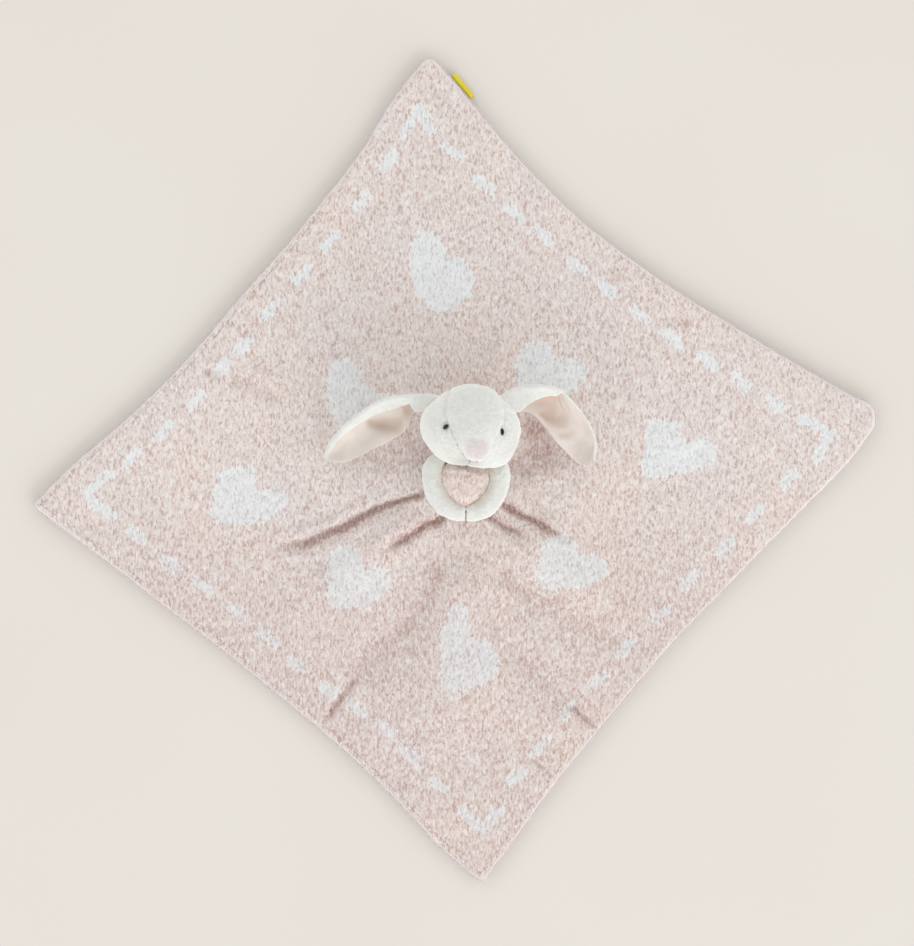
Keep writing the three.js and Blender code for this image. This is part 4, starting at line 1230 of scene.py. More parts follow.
def nose_pad():
    right = np.array(NOSE_HALF)
    outline = np.vstack([right, (right * [-1, 1])[::-1][1:-1]])
    closed = np.vstack([outline, outline[:1]])
    edge = curve_in_plane(closed, NOSE_SIDES + 1)[:-1] * [NOSE_WIDTH, NOSE_LENGTH]

    def ring(share, grow):
        xy = edge * share + [NOSE_ASIDE, -NOSE_DOWN]
        return from_head(head_point(face_direction(xy[:, 0] / HEAD_HALF[0], xy[:, 1] / HEAD_HALF[1]), grow))

    shares = np.linspace(NOSE_FROM, 1, NOSE_STEPS)
    rings = [ring(share, NOSE_BASE + NOSE_PUFF * math.sqrt(1 - share**2)) for share in shares]
    under = [ring(share * NOSE_UNDER_SHARE, NOSE_SINK) for share in NOSE_UNDER]
    made = loft("nose_pad", rings + under, nose_plush)
    shown, hidden = NOSE_STEPS * NOSE_SIDES, len(NOSE_UNDER) * NOSE_SIDES
    border = NOSE_BORDER * smooth(np.repeat(shares, NOSE_SIDES), *NOSE_BORDER_FROM)
    set_value(made, "border", np.concatenate([border, np.ones(hidden), [0, 1]]))
    raise_pile(made, plush_pile, *NOSE_PILE, np.concatenate([np.ones(shown), np.zeros(hidden), [1, 0]]))
    settle(made, "head", "nose_pink", "nose_patch", fill=NOSE_FILL)


MOUTH_DOWN, MOUTH_ASIDE, MOUTH_LENGTH = 24.2, 4.3, 2.2
MOUTH_RISE, MOUTH_ENDS, MOUTH_THREAD, MOUTH_STEPS, MOUTH_SIDES = 0.55, 1.2, 0.24, 17, 8
MOUTH_STITCHES = ((0.0, 0.0, 0.0), (0.25, 0.1, 0.1), (-0.22, -0.1, -0.08))  # aside, up and lean


def mouth_thread():
    parts = []
    t = np.linspace(-0.5, 0.5, MOUTH_STEPS)
    for aside, up, lean in MOUTH_STITCHES:
        x = MOUTH_ASIDE + aside + lean * t * MOUTH_LENGTH
        y = -MOUTH_DOWN + up + t * MOUTH_LENGTH
        rise = MOUTH_RISE - MOUTH_ENDS * (2 * np.abs(t)) ** 4
        path = from_head(head_point(face_direction(x / HEAD_HALF[0], y / HEAD_HALF[1]), rise))
        parts.append(tube("mouth", path, MOUTH_THREAD, MOUTH_SIDES, thread_grey))
    settle(join("mouth_thread", parts), "head", "thread", "mouth_stitch")


eye_beads()
nose_pad()
mouth_thread()


# Ears: stations as in the source, upper and lower edge as shares of reach, fall and root height

EAR_BACK, EAR_LINING, EAR_GAP, EAR_SAG, EAR_TIP_HEIGHT, EAR_TIP_DOWN = 1.4, 0.9, 0.5, 7, 3.6, -22
# Each ear's shades are blobs of painted shade on the lining: place along and across, their widths and amount.
# Its peach share sets the painted warm shade beneath the lip.
EARS = {
    "left": dict(
        side=-1, reach=98, fall=44, rise=27, peach_shade=0.2, lining_from=0.23,
        upper=[(0.1, 0.865, 1.05), (0.253, 0.96, 1.07), (0.392, 0.95, 1.09), (0.531, 0.92, 1.01),
               (0.651, 0.81, 0.87), (0.766, 0.635, 0.64), (0.863, 0.46, 0.39), (0.946, 0.238, 0.16),
               (0.974, 0.089, 0.07)],
        lower=[(0.14, 0.66, 0.9), (0.281, 0.72, 0.85), (0.386, 0.7, 0.79), (0.438, 0.45, 0.57),
               (0.549, 0.296, 0.39), (0.658, 0.178, 0.2), (0.76, 0.06, 0.07), (0.841, -0.008, 0.01),
               (0.915, -0.015, 0.01)],
        sag=[0, 0.1, 0.35, 0.8, 1, 0.9, 0.7, 0.4, 0.1],
        lip=[(0, 1), (0.235, 1), (0.262, 0.4), (0.375, 0.3), (0.5, 0.22), (0.625, 0.17), (0.75, 0.12),
             (1, 0.08)],
        creases=[
            (1.6, 4.2, [(0.585, 0.66), (0.53, 0.3), (0.44, -0.15), (0.34, -0.7)], 1),
            (0.8, 2.0, [(0.31, 0.4), (0.315, -0.2), (0.32, -0.9)], -1),
            (0.4, 1.0, [(0.78, 0.7), (0.84, 0.62), (0.9, 0.4)], 1),
        ],
        shades=[(0.27, 0, 0.06, 3, 0.85), (0.49, -0.1, 0.08, 0.5, 0.6), (0.4, -0.5, 0.07, 0.5, 0.65)],
    ),
    "right": dict(
        side=1, reach=85, fall=54, rise=29, peach_shade=0.9, lining_from=0.185,
        upper=[(0.19, 0.73, 0.88), (0.316, 0.85, 0.98), (0.491, 0.889, 1.03), (0.652, 0.861, 0.94),
               (0.746, 0.744, 0.77), (0.842, 0.579, 0.53), (0.923, 0.4, 0.29), (0.965, 0.219, 0.12),
               (0.958, 0.049, 0.05)],
        lower=[(0.226, 0.53, 0.77), (0.34, 0.58, 0.77), (0.442, 0.59, 0.7), (0.535, 0.482, 0.53),
               (0.606, 0.351, 0.36), (0.678, 0.218, 0.19), (0.749, 0.109, 0.07), (0.827, -0.012, 0.01),
               (0.913, -0.073, 0.01)],
        sag=[0, 0.1, 0.4, 0.8, 1, 0.9, 0.7, 0.4, 0.1],
        lip=[(0, 1), (0.19, 1), (0.25, 0.66), (0.31, 0.36), (0.36, 0.2), (0.4, 0.13), (0.425, 0.01), (1, 0)],
        creases=[
            (1.5, 4.4, [(0.3, -0.6), (0.42, -0.3), (0.54, 0.05), (0.64, 0.5)], -1),
            (0.6, 3.4, [(0.56, -0.75), (0.63, -0.2), (0.68, 0.4)], -1),
            (0.8, 1.2, [(0.41, 0.85), (0.47, 0.62), (0.54, 0.5)], -1),
            (0.8, 1.0, [(0.43, 0.92), (0.5, 0.84), (0.58, 0.76)], -1),
        ],
        shades=[(0.28, 0.2, 0.14, 1.2, 0.95), (0.43, -0.2, 0.08, 0.7, 0.75), (0.55, 0.1, 0.06, 0.5, 0.6)],
    ),
}


def ear_point(ear, s, v):
    """Points of an ear's middle surface: s from root to tip, v from the lower edge, -1, to the upper, 1."""
    s, v = np.broadcast_arrays(np.asarray(s, float), np.asarray(v, float))
    shape, s, v = s.shape, s.ravel(), v.ravel()
    base = np.array([
        NECK[0] + HEAD_ASIDE, NECK[1] + HEAD_AHEAD + EAR_TIP_DOWN, BLANKET_TOP + EAR_TIP_HEIGHT
    ])
    scale = np.array([ear["side"] * ear["reach"], ear["fall"], ear["rise"]])
    upper = curve_at(base + np.array(ear["upper"]) * scale, s)
    lower = curve_at(base + np.array(ear["lower"]) * scale, s)
    point = lower + (upper - lower) * ((v + 1) / 2)[:, None]
    sag = np.interp(s, np.linspace(0, 1, len(ear["sag"])), ear["sag"])
    point[:, 2] -= EAR_SAG * sag * (1 - v * v) * (1 + 0.5 * v)
    return point.reshape(shape + (3,))


SMALL_STEP = 0.01


def ear_normal(ear, s, v):
    before, after = np.maximum(s - SMALL_STEP, 0), np.minimum(s + SMALL_STEP, 1)
    run = ear_point(ear, after, v) - ear_point(ear, before, v)
    across = ear_point(ear, s, v + SMALL_STEP) - ear_point(ear, s, v - SMALL_STEP)
    return unit(np.cross(run, across)) * ear["side"]


def ear_offset(ear, s, v, offset):
    return ear_point(ear, s, v) + ear_normal(ear, s, v) * np.asarray(offset)[..., None]


def ear_lip(ear, s):
    """Where across the ear the plush turned over its upper edge ends."""
    stations, shares = np.array(ear["lip"]).T
    return 1 - 2 * np.interp(s, stations, shares)


EAR_LENGTH, EAR_HALF = 100.0, 13.0
EAR_WANDER, EAR_RIPPLES = (0.5, 9.0, 85), ((0.35, 11.0, 83), (0.15, 5.0, 84))
FOLD_BEGIN, FOLD_END, FOLD_NARROW, FOLD_WIDENS = (0.0, 0.16), (0.35, 1.0), 0.55, (0.0, 0.6)
FOLD_STEPS = 20
VALLEY, VALLEY_AT = 0.8, 0.6  # its share of a crease's depth, and its place in crease widths
RIDGE, RIDGE_AT, RIDGE_WIDTH = 0.45, -2.4, 1.8
FOLD_PAINTED_SHADE, FOLD_PAINTED_SHADE_MOST = 0.65, 1.2


def creases_on_ear(ear, s, v):
    """Folds of the lining: how far they move it, and the painted shade in them and in the shade blobs, from 0
    to 1.
    """
    place = np.column_stack([s.ravel() * EAR_LENGTH, v.ravel() * EAR_HALF])
    place += warped(flat_points(place), *EAR_WANDER, 2)
    move = rough(flat_points(place), EAR_RIPPLES)
    fold = np.zeros(len(place))
    for depth, width, line, side in ear["creases"]:
        steps = curve_in_plane(np.array(line) * [EAR_LENGTH, EAR_HALF], FOLD_STEPS)
        distance, along_line, turn = to_line(place, steps)
        beside = side * turn * distance
        fade = smooth(along_line, *FOLD_BEGIN) * (1 - smooth(along_line, *FOLD_END))
        wide = width * (FOLD_NARROW + (1 - FOLD_NARROW) * smooth(along_line, *FOLD_WIDENS))
        valley = hump(beside - VALLEY_AT * wide, wide) * fade
        ridge = hump(beside - RIDGE_AT * width, RIDGE_WIDTH * width) * fade
        move += depth * (RIDGE * ridge - VALLEY * valley)
        fold = np.maximum(fold, FOLD_PAINTED_SHADE * min(depth, FOLD_PAINTED_SHADE_MOST) * valley)
    for at_s, at_v, wide_s, wide_v, amount in ear["shades"]:
        shade = hump(place[:, 0] / EAR_LENGTH - at_s, wide_s) * hump(place[:, 1] / EAR_HALF - at_v, wide_v)
        fold = fold + (1 - fold) * amount * shade
    return move.reshape(s.shape), np.clip(fold, 0, 1)


def rounded_tip(rings, run, reach, steps):
    """The rings with more of them that close the ear's tip, within a reach beyond the last."""
    centre, tip = rings[-1].mean(0), rings[-1]
    angles = np.linspace(0, math.pi / 2, steps)[1:-1]
    more = [centre + (tip - centre) * math.cos(a) + run * reach * math.sin(a) for a in angles]
    return np.array(list(rings) + more)


EAR_STEPS = 170
# Points across the back: its outside, round the upper edge, over the lip, back under the lining, lower edge
OUTSIDE_POINTS, TOP_POINTS, LIP_POINTS, UNDER_POINTS, LOW_POINTS = 40, 12, 14, 12, 9
EAR_EDGE, EDGE_ROUND = 0.985, 0.05  # where the edges begin to turn, and how far they stand out
EAR_PLUMP, LIP_SWELL, LIP_CLOSE, LIP_END, NO_LIP = 0.5, 0.45, 0.7, (0.84, 1.0), (0.9, 0.99)
LIP_OFF_LINING, BARE_EDGE, LOW_EDGE, UNDER_FROM = 0.15, 0.3, 0.25, 0.06
LINING_ROOM, ROOM_FADE = 0.95, (0.88, 0.97)  # how far the back's inner side lies under the lining
TIP_REACH, TIP_STEPS, LINING_TIP_STEPS, EAR_PILE = 2.0, 9, 7, (0.45, 25)


def ear_back(name, ear):
    """The plush back with its lip, and how the tip is rounded off: its direction and reach."""
    s = np.linspace(0, 1, EAR_STEPS)[:, None]
    along_ear = 0 * s
    lip = ear_lip(ear, s)
    u = np.linspace(-1, 1, OUTSIDE_POINTS)[None, :]
    outside = ear_offset(ear, s, u * EAR_EDGE + along_ear, -EAR_BACK - EAR_PLUMP * (1 - u**6) + along_ear)
    bare = smooth(lip, *NO_LIP)
    lap_height = (EAR_LINING + EAR_GAP + LIP_OFF_LINING) * (1 - bare) + BARE_EDGE * bare
    turn = np.linspace(0, math.pi, TOP_POINTS)[1:-1][None, :]
    roll_h = -EAR_BACK + (EAR_BACK + lap_height) * (1 - np.cos(turn)) / 2
    over = ear_offset(ear, s, EAR_EDGE + EDGE_ROUND * np.sin(turn) + along_ear, roll_h)
    w = np.linspace(0, 1, LIP_POINTS)[None, :]
    swell = LIP_SWELL * np.sin(math.pi * w) * (1 - bare)
    lap_h = lap_height + swell - (lap_height - LIP_CLOSE) * smooth(w, *LIP_END)
    lapped = ear_offset(ear, s, EAR_EDGE + (lip - EAR_EDGE) * w, lap_h)
    b = np.linspace(UNDER_FROM, 1, UNDER_POINTS)[None, :]
    room = LINING_ROOM * (1 - smooth(s, *ROOM_FADE)) * np.sqrt(np.sin(math.pi * b).clip(0))
    under = ear_offset(ear, s, lip + (-EAR_EDGE - lip) * b, -room)
    edge = np.linspace(0, math.pi, LOW_POINTS)[1:-1][None, :]
    low_h = LOW_EDGE - (EAR_BACK + LOW_EDGE) * (1 - np.cos(edge)) / 2
    low = ear_offset(ear, s, -EAR_EDGE - EDGE_ROUND * np.sin(edge) + along_ear, low_h + along_ear)
    rings = np.concatenate([outside, over, lapped, under, low], 1)
    centre = rings[-1].mean(0)
    run = unit(centre - rings[-4].mean(0))
    reach = 0.5 * np.linalg.norm(rings[-1][OUTSIDE_POINTS // 2] - centre) + TIP_REACH
    back = loft(f"{name}_ear_plush", rounded_tip(rings, run, reach, TIP_STEPS) + ORIGIN, plush)
    raise_pile(back, plush_pile, *EAR_PILE)
    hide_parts(f"{name}_ear_back")
    return back, run, reach


LINING_POINTS, LINING_LOW, LINING_UNDER_LIP = 48, -1.03, 0.06
LINING_HELD = ((0.0, 0.12), (0.86, 1.0), 0.06, (0.84, 0.94))  # lower edge, lip, root and tip
LINING_DROP, DEEPEST_RIPPLE, LINING_THIN, LINING_BASE, LINING_TIP_SHORT = 0.25, -1.4, 0.45, 0.3, 0.9
# Where the painted warm shade beneath the lip lies: across the lining, and along it
PEACH_SHADE_ACROSS, PEACH_SHADE_ALONG = (0.6, 1.0), (0.38, 0.46)


def ear_lining(name, ear, run, reach):
    """The satin lining, with its creases, the painted shade in them and the painted warm shade beneath the
    lip near the root.
    """
    s = np.linspace(ear["lining_from"], 1.0, EAR_STEPS)[:, None]
    w = np.linspace(0, 1, LINING_POINTS)[None, :]
    v = LINING_LOW + (np.minimum(ear_lip(ear, s) + LINING_UNDER_LIP, 1.0) - LINING_LOW) * w
    ripple, fold = creases_on_ear(ear, s + 0 * v, v)
    low, lip, root, tip = LINING_HELD
    held = smooth(w, *low) * (1 - smooth(w, *lip)) * smooth(s, s[0], s[0] + root) * (1 - smooth(s, *tip))
    top_h = EAR_GAP + EAR_LINING - LINING_DROP + np.maximum(ripple * held, DEEPEST_RIPPLE)
    bottom_h = np.minimum(EAR_GAP - LINING_BASE, top_h - LINING_THIN)
    top, bottom = ear_offset(ear, s, v, top_h), ear_offset(ear, s, v[:, ::-1], bottom_h[:, ::-1])
    rings = np.concatenate([top, bottom], 1)
    rings = rounded_tip(rings, run, reach - LINING_TIP_SHORT, LINING_TIP_STEPS)
    lining = loft(f"{name}_ear_satin", rings + ORIGIN, satin)
    peach_shade = smooth(w, *PEACH_SHADE_ACROSS) * (1 - smooth(s, *PEACH_SHADE_ALONG)) * ear["peach_shade"]
    for key, shown in (("fold", fold.reshape(EAR_STEPS, LINING_POINTS)), ("peach_shade", peach_shade)):
        value = np.zeros(len(lining.data.vertices))
        value[: 2 * EAR_STEPS * LINING_POINTS].reshape(EAR_STEPS, -1)[:, :LINING_POINTS] = shown
        set_value(lining, key, value)
    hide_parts(f"{name}_ear_lining")
    return lining


def ear_pieces(name, ear):
    back, run, reach = ear_back(name, ear)
    return back, ear_lining(name, ear, run, reach)


EAR_PIECES = {name: ear_pieces(name, ear) for name, ear in EARS.items()}
EAR_TACKS = {"left": (-15.86, 44.57, 40.9), "right": (36.12, 44.69, 40.32)}
TACK_RADIUS, TACK_THREAD, TACK_CORE, TACK_WINDINGS, TACK_SPAN = 1.1, 0.34, 1.05, 4.5, (0.06, 0.88)
TACK_STEPS, TACK_SIDES, TACK_GRID = 90, 8, (10, 16)
EAR_BEND = (4.0, 16.0)


def ear_knot(name, tack):
    """A knot of thread that holds an ear's root: a wound thread over a small core."""
    turns = np.linspace(0, 1, TACK_STEPS)
    polar = math.pi * (TACK_SPAN[0] + TACK_SPAN[1] * turns)
    winding = 2 * math.pi * TACK_WINDINGS * turns
    ball = [np.sin(polar) * np.cos(winding), np.sin(polar) * np.sin(winding), np.cos(polar)]
    path = tack + TACK_RADIUS * np.stack(ball, 1)
    wound = tube("tack", path, TACK_THREAD, TACK_SIDES, thread_pale)
    core = loft("core", ball_rings(*TACK_GRID, lambda d: tack + d * TACK_CORE), thread_pale)
    settle(join(f"{name}_ear_knot", [wound, core]), f"{name}_ear", "thread", f"{name}_ear_tack")


for name, pieces in EAR_PIECES.items():
    tack = np.array(EAR_TACKS[name])
    start, end = ((tack + [EARS[name]["side"] * reach, 0, 0]) * MM for reach in EAR_BEND)
    for made in pieces:
        tuple(start)
        tuple(end)
        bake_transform(made)
    ear_knot(name, tack)


# Arms, the stitch between the paws, and the heart

ARM_RING, ARM_REACH, ARM_RADIUS, ARM_ASIDE, PAW_GAP, PAW_OVER = 21.6, 36.2, 7.1, -0.3, 0.8, 2.4
ARM_RADII = [0.36, 0.66, 0.94, 1.0, 1.0, 0.96, 0.88, 0.76]
ARM_PATH = [(0.74, 0.02), (0.97, 0.18), (1, 0.42), (0.87, 0.69), (0.56, 0.91), (0.25, 0.99)]
# Painted warm shade on the arms' inner sides, where they face the heart
INNER_PAINTED_SHADE = 0.5
HEART_WIDTH, HEART_LENGTH, HEART_DEPTH, HEART_DOWN, HEART_ASIDE, HEART_LEAN = 37, 34, 12.6, 18.6, -0.4, 2.2
HEAD_TURNS, HEAD_LIFTS, ARM_LIFTS = (-12, 0, 12), (0, 12), (0, 10)


def turned(points, axis, degrees):
    """Points turned about the neck's pivot."""
    matrix = np.array(Euler([math.radians(degrees) * a for a in axis]).to_matrix())
    centre = NECK_PIVOT + ORIGIN
    return (points - centre) @ matrix.T + centre


def clear_of_head(points, clearance):
    """Moves points out of the room that the head needs as it and the arms move."""
    points = points.copy()
    for turn, lift, arms in itertools.product(HEAD_TURNS, HEAD_LIFTS, ARM_LIFTS):
        moved = turned(points, (-1, 0, 0), arms)
        moved = turned(turned(moved, (0, 0, 1), -turn), (1, 0, 0), -lift)
        local = to_head(moved)
        surface = head_point(unit(local / HEAD_HALF), clearance)
        inside = np.linalg.norm(local, axis=1) < np.linalg.norm(surface, axis=1)
        local[inside] = surface[inside]
        back = turned(turned(from_head(local), (1, 0, 0), lift), (0, 0, 1), turn)
        points[inside] = turned(back, (-1, 0, 0), -arms)[inside]
    return points


COVER_OFF_HEAD, WADDING_OFF_HEAD, PANEL_OFF_HEAD, PANEL_OFF_ARMS = 1.7, 2.4, 1.3, 0.1
ARM_FILL = 0.8
# The paw's round end: where it begins and how long it is, as shares of the arm, and how far it narrows
PAW_FROM, PAW_ROUND, PAW_FLAT, PAW_STEPS = 0.94, 0.0605, 0.62, 10


def arm_path(side, shares):
    start = (NECK_RADIUS + SEAM_GAP) / ARM_RING
    line = np.array([(start, 0), *ARM_PATH, (-PAW_OVER / ARM_RING, 1)])
    radii = ARM_RADIUS * np.array(ARM_RADII)
    knots = np.column_stack([
        NECK[0] + ARM_ASIDE + side * line[:, 0] * ARM_RING, NECK[1] - line[:, 1] * ARM_REACH, SEAT + radii
    ])
    return curve_at(knots, shares), ARM_RADIUS * along(ARM_RADII, shares)


def arm_rings(side, inset, steps, sides):
    """Rings of an arm from the shoulder to the paw, and how far each point faces the heart."""
    paw = PAW_FROM + (1 - PAW_FROM) * np.sin(np.linspace(0, math.pi / 2, PAW_STEPS))[1:]
    s = np.concatenate([np.linspace(0, PAW_FROM, steps), paw])
    centre, radius = arm_path(side, s)
    run = unit(np.gradient(centre, axis=0))
    turn = np.linspace(0, 1, PAW_STEPS)[:, None]
    run[-PAW_STEPS:] = unit(run[-PAW_STEPS:] * (1 - turn) + np.array([-side, 0, 0]) * turn)
    aside = unit(np.cross(run, [0, 0, 1]))
    past_paw = ((s - PAW_FROM) / PAW_ROUND).clip(0)
    round_off = np.sqrt(np.clip(1 - past_paw**2, 0, 1)) * PAW_FLAT + 1 - PAW_FLAT
    radius = (radius - inset) * np.where(s > PAW_FROM, round_off, 1)
    rings = rings_round(centre, radius, aside, np.cross(aside, run), sides)
    # The paws press flat against each other
    past = side * (rings[:, :, 0] - NECK[0] - ARM_ASIDE) - PAW_GAP / 2 - inset
    pressed = np.where(past > 1, past, np.exp(np.minimum(past, 1) - 1))
    rings[:, :, 0] += side * (pressed - past)
    heart = np.array([NECK[0] + HEART_ASIDE, NECK[1] - HEART_DOWN, SEAT + HEART_DEPTH / 2])
    inward = np.sum((rings - centre[:, None]) * unit(heart - centre)[:, None], 2) / ARM_RADIUS
    return rings + ORIGIN, inward


ARM_GRID, ARM_INNER_GRID = (((150, 64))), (40, 20)
ARM_LUMPS, ARM_PILE = ((0.35, 9.0, 91), (0.25, 4.0, 92)), (0.5, 27)
ARM_INSET, ARM_LOWEST, ARM_INNER_LOWEST, INNER_SHADE_TO = 2.2, -0.1, 1.6, 0.95


def arm_loft(name, rings, clearance, lowest, material):
    flat = clear_of_head(rings.reshape(-1, 3), clearance)
    flat[:, 2] = np.maximum(flat[:, 2], SEAT + lowest)
    return loft(name, flat.reshape(rings.shape), material), flat


def arm_pieces(name, side):
    rings, inward = arm_rings(side, 0.0, *ARM_GRID)
    made, flat = arm_loft(f"{name}_arm_plush", rings, COVER_OFF_HEAD, ARM_LOWEST, plush)
    soft = np.append(rough(flat, ARM_LUMPS), [0, 0])
    set_points(made, points_of(made) + normals_of(made) * soft[:, None])
    raise_pile(made, plush_pile, *ARM_PILE)
    # Painted warm shade on the side that faces the heart
    set_value(made, "cream", np.append(INNER_PAINTED_SHADE * smooth(inward.ravel(), 0.0, INNER_SHADE_TO), [0, 0]))
    settle(made, "arms", "plush", f"{name}_arm_cover", fill=ARM_FILL)
    rings, _ = arm_rings(side, ARM_INSET, *ARM_INNER_GRID)
    made, _ = arm_loft(f"{name}_arm_wadding", rings, WADDING_OFF_HEAD, ARM_INNER_LOWEST, wadding)
    settle(made, "arms", "filling", f"{name}_arm_filling", fill=ARM_FILL)


PAW_THREAD, PAW_WINDING, PAW_WINDINGS, PAW_THREAD_STEPS = 0.2, 0.3, 3.5, 80
PAW_THREAD_LENGTH, PAW_THREAD_HIGH = 4.4, 0.7


def paw_stitch():
    """A thread wound between the paws."""
    height = SEAT + ARM_RADIUS * PAW_THREAD_HIGH
    centre = np.array([NECK[0] + ARM_ASIDE, NECK[1] - ARM_REACH, height]) + ORIGIN
    t = np.linspace(0, 1, PAW_THREAD_STEPS)
    winding = 2 * math.pi * PAW_WINDINGS * t
    aside, along_z = PAW_WINDING * np.cos(winding), (t - 0.5) * PAW_THREAD_LENGTH
    path = centre + np.stack([aside, PAW_WINDING * np.sin(winding), along_z], 1)
    made = tube("paw_stitch", path, PAW_THREAD, THREAD_SIDES, thread_grey)
    settle(made, "arms", "thread", "paw_tack_thread")


HEART_WAVES, HEART_RAISED, HEART_SPAN = ((1, 13), (2, -2.4), (3, -1.6)), 1.3, 12.5


def heart_share(angle):
    """A full heart with low lobes, as shares of half its width and length."""
    waves = sum(size * np.cos(times * angle) for times, size in HEART_WAVES)
    return np.stack([np.sin(angle) ** 3, (waves + HEART_RAISED) / HEART_SPAN], -1)


ARM_CENTRES = 90


def arm_centres():
    """Points along the middle of both arms, with the arm's radius at each."""
    lines = [arm_path(side, np.linspace(0, 1, ARM_CENTRES)) for side in (-1, 1)]
    return np.vstack([line for line, _ in lines]) + ORIGIN, np.concatenate([radius for _, radius in lines])


LEVEL = np.array([1, 1, 0.25])  # pushes points aside rather than up


def clear_of_arms(points, gap):
    """Moves points out of the arms, nearly level with the table."""
    centres, radii = arm_centres()
    points = points.copy()
    for _ in range(3):
        away = points[:, None] - centres[None]
        depth = radii[None] + gap - np.linalg.norm(away, axis=2)
        worst = depth.argmax(1)
        rows = np.arange(len(points))
        push = np.maximum(depth[rows, worst], 0)
        points += unit(away[rows, worst] * LEVEL) * push[:, None]
    return points


NECK_CENTRE = NECK_PIVOT + ORIGIN + [0, NECK_RADIUS - NECK_SLIM, 0]


def clear_of_neck(points):
    """Moves points away from the neck's axis, level with the table."""
    offset = points[:, :2] - NECK_CENTRE[:2]
    distance = np.linalg.norm(offset, axis=1)
    points = points.copy()
    points[:, :2] += unit(offset) * np.maximum(NECK_SLIM + NECK_ROOM - distance, 0)[:, None]
    return points


HEART_GRID = ((200, 40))  # points round the edge and rings of a panel
HEART_OFF_SEAT, HEART_SEAM, HEART_DOME, HEART_TIP_LEAN = 0.15, 0.1, 4, 1.5
HEART_EDGE_SHARE, PANEL_INSET, INNER_EVERY = 0.06, 1.5, 4
HEART_PILE = (0.8, 31)
HEART_WADDING_INSET, HEART_WADDING_OFF_ARMS, HEART_WADDING_SHARES = 2.4, 1.8, np.linspace(0.1, 1, 8)


def heart_pieces():
    sides, steps = HEART_GRID
    outline = heart_share(np.linspace(0, 2 * math.pi, sides, endpoint=False))
    height = SEAT + HEART_OFF_SEAT + HEART_DEPTH / 2
    middle = np.array([NECK[0] + HEART_ASIDE, NECK[1] - HEART_DOWN, height]) + ORIGIN

    def dome(inset, side, shares):
        edge = outline * [HEART_WIDTH / 2 - inset, HEART_LENGTH / 2 - inset]
        edge[:, 0] -= HEART_LEAN * np.maximum(-outline[:, 1], 0) ** HEART_TIP_LEAN
        rises = HEART_SEAM + (HEART_DEPTH / 2 - inset) * (1 - shares**HEART_DOME).clip(0) ** 0.5
        return [np.column_stack([edge * k, np.full(sides, side * rise)]) for k, rise in zip(shares, rises)]

    def heart_loft(name, rings, material):
        return loft(name, rings.reshape(-1, sides, 3), material)

    shares = np.sin(np.linspace(HEART_EDGE_SHARE, math.pi / 2, steps))
    for name, side in (("front", 1), ("back", -1)):
        inner = dome(PANEL_INSET, side, shares[::-INNER_EVERY])
        flat = (np.array(dome(0.0, side, shares) + inner) + middle).reshape(-1, 3)
        flat = clear_of_arms(flat, PANEL_OFF_ARMS)
        for _ in range(3):
            flat = clear_of_neck(clear_of_head(flat, PANEL_OFF_HEAD))
        flat[:, 2] = np.maximum(flat[:, 2], SEAT)
        made = heart_loft(f"heart_{name}_panel", flat, fleece_heart)
        mask = np.concatenate([np.ones(steps * sides), np.zeros(len(inner) * sides), [1, 0]])
        raise_pile(made, fleece_pile, *HEART_PILE, mask)
        settle(made, "arms", "fleece_pink", f"heart_{name}", fill=ARM_FILL)
    shares = HEART_WADDING_SHARES
    domes = dome(HEART_WADDING_INSET, 1, shares) + dome(HEART_WADDING_INSET, -1, shares[::-1])
    flat = clear_of_neck(clear_of_arms((np.array(domes) + middle).reshape(-1, 3), HEART_WADDING_OFF_ARMS))
    made = heart_loft("heart_wadding", clear_of_head(flat, WADDING_OFF_HEAD), wadding)
    settle(made, "arms", "filling", "heart_filling", fill=ARM_FILL)


arm_pieces("left", -1)
arm_pieces("right", 1)
paw_stitch()
heart_pieces()


# Neck, its stitching, the seam thread and the label

GATHERS, GATHER_DEPTH, NECK_OFF_SEAT, NECK_PILE, NECK_GRID = 14, 0.035, 0.3, (0.3, 33), (40, 96)
NECK_THREAD_OUT, NECK_THREAD_UP, NECK_THREAD_STEPS = 0.5, 0.4, 240
NECK_THREAD = (0.2, 2.4, 0.22)  # winding, pitch and thickness


def neck_pieces():
    def point(direction):
        angle = np.arctan2(direction[:, 1], direction[:, 0])
        gathers = 1 + GATHER_DEPTH * np.sin(GATHERS * angle) * (1 - direction[:, 2] ** 2)
        p = direction * [NECK_SLIM, NECK_SLIM, NECK_RADIUS] * gathers[:, None]
        p[:, 2] = np.maximum(p[:, 2], NECK_OFF_SEAT - NECK_RISE)
        return p + NECK_CENTRE

    made = loft("neck_plush", ball_rings(*NECK_GRID, point), plush)
    raise_pile(made, plush_pile, *NECK_PILE)
    settle(made, "neck", "plush", "neck_stump", fill=ARM_FILL)
    radius = NECK_SLIM + NECK_THREAD_OUT
    angle = np.linspace(0, 2 * math.pi, NECK_THREAD_STEPS, endpoint=False)
    height = np.full(len(angle), NECK_THREAD_UP - NECK_RISE)
    ring = NECK_CENTRE + np.stack([radius * np.cos(angle), radius * np.sin(angle), height], 1)
    settle(cord_of_two("neck_thread", ring, *NECK_THREAD), "blanket", "thread", "neck_base_thread")


SEAM_THREAD_STEPS, SEAM_THREAD_OUT, SEAM_THREAD_DOWN = 500, 0.75, 0.1
SEAM_THREAD_WAVE = (0.35, 0.9)  # height and pace
SEAM_THREAD = (0.3, 4.2, 0.32)  # winding, pitch and thickness


def seam_thread():
    ring = ring_of(SEAM_THREAD_STEPS, SEAM_THREAD_OUT)
    path = np.column_stack([ring, lift_at(ring) + SEAM_HEIGHT - SEAM_THREAD_DOWN]) + ORIGIN
    rise, pace = SEAM_THREAD_WAVE
    path[:, 2] += rise * np.sin(np.arange(len(path)) * pace)
    settle(cord_of_two("seam_thread", path, *SEAM_THREAD), "blanket", "thread", "edge_thread")


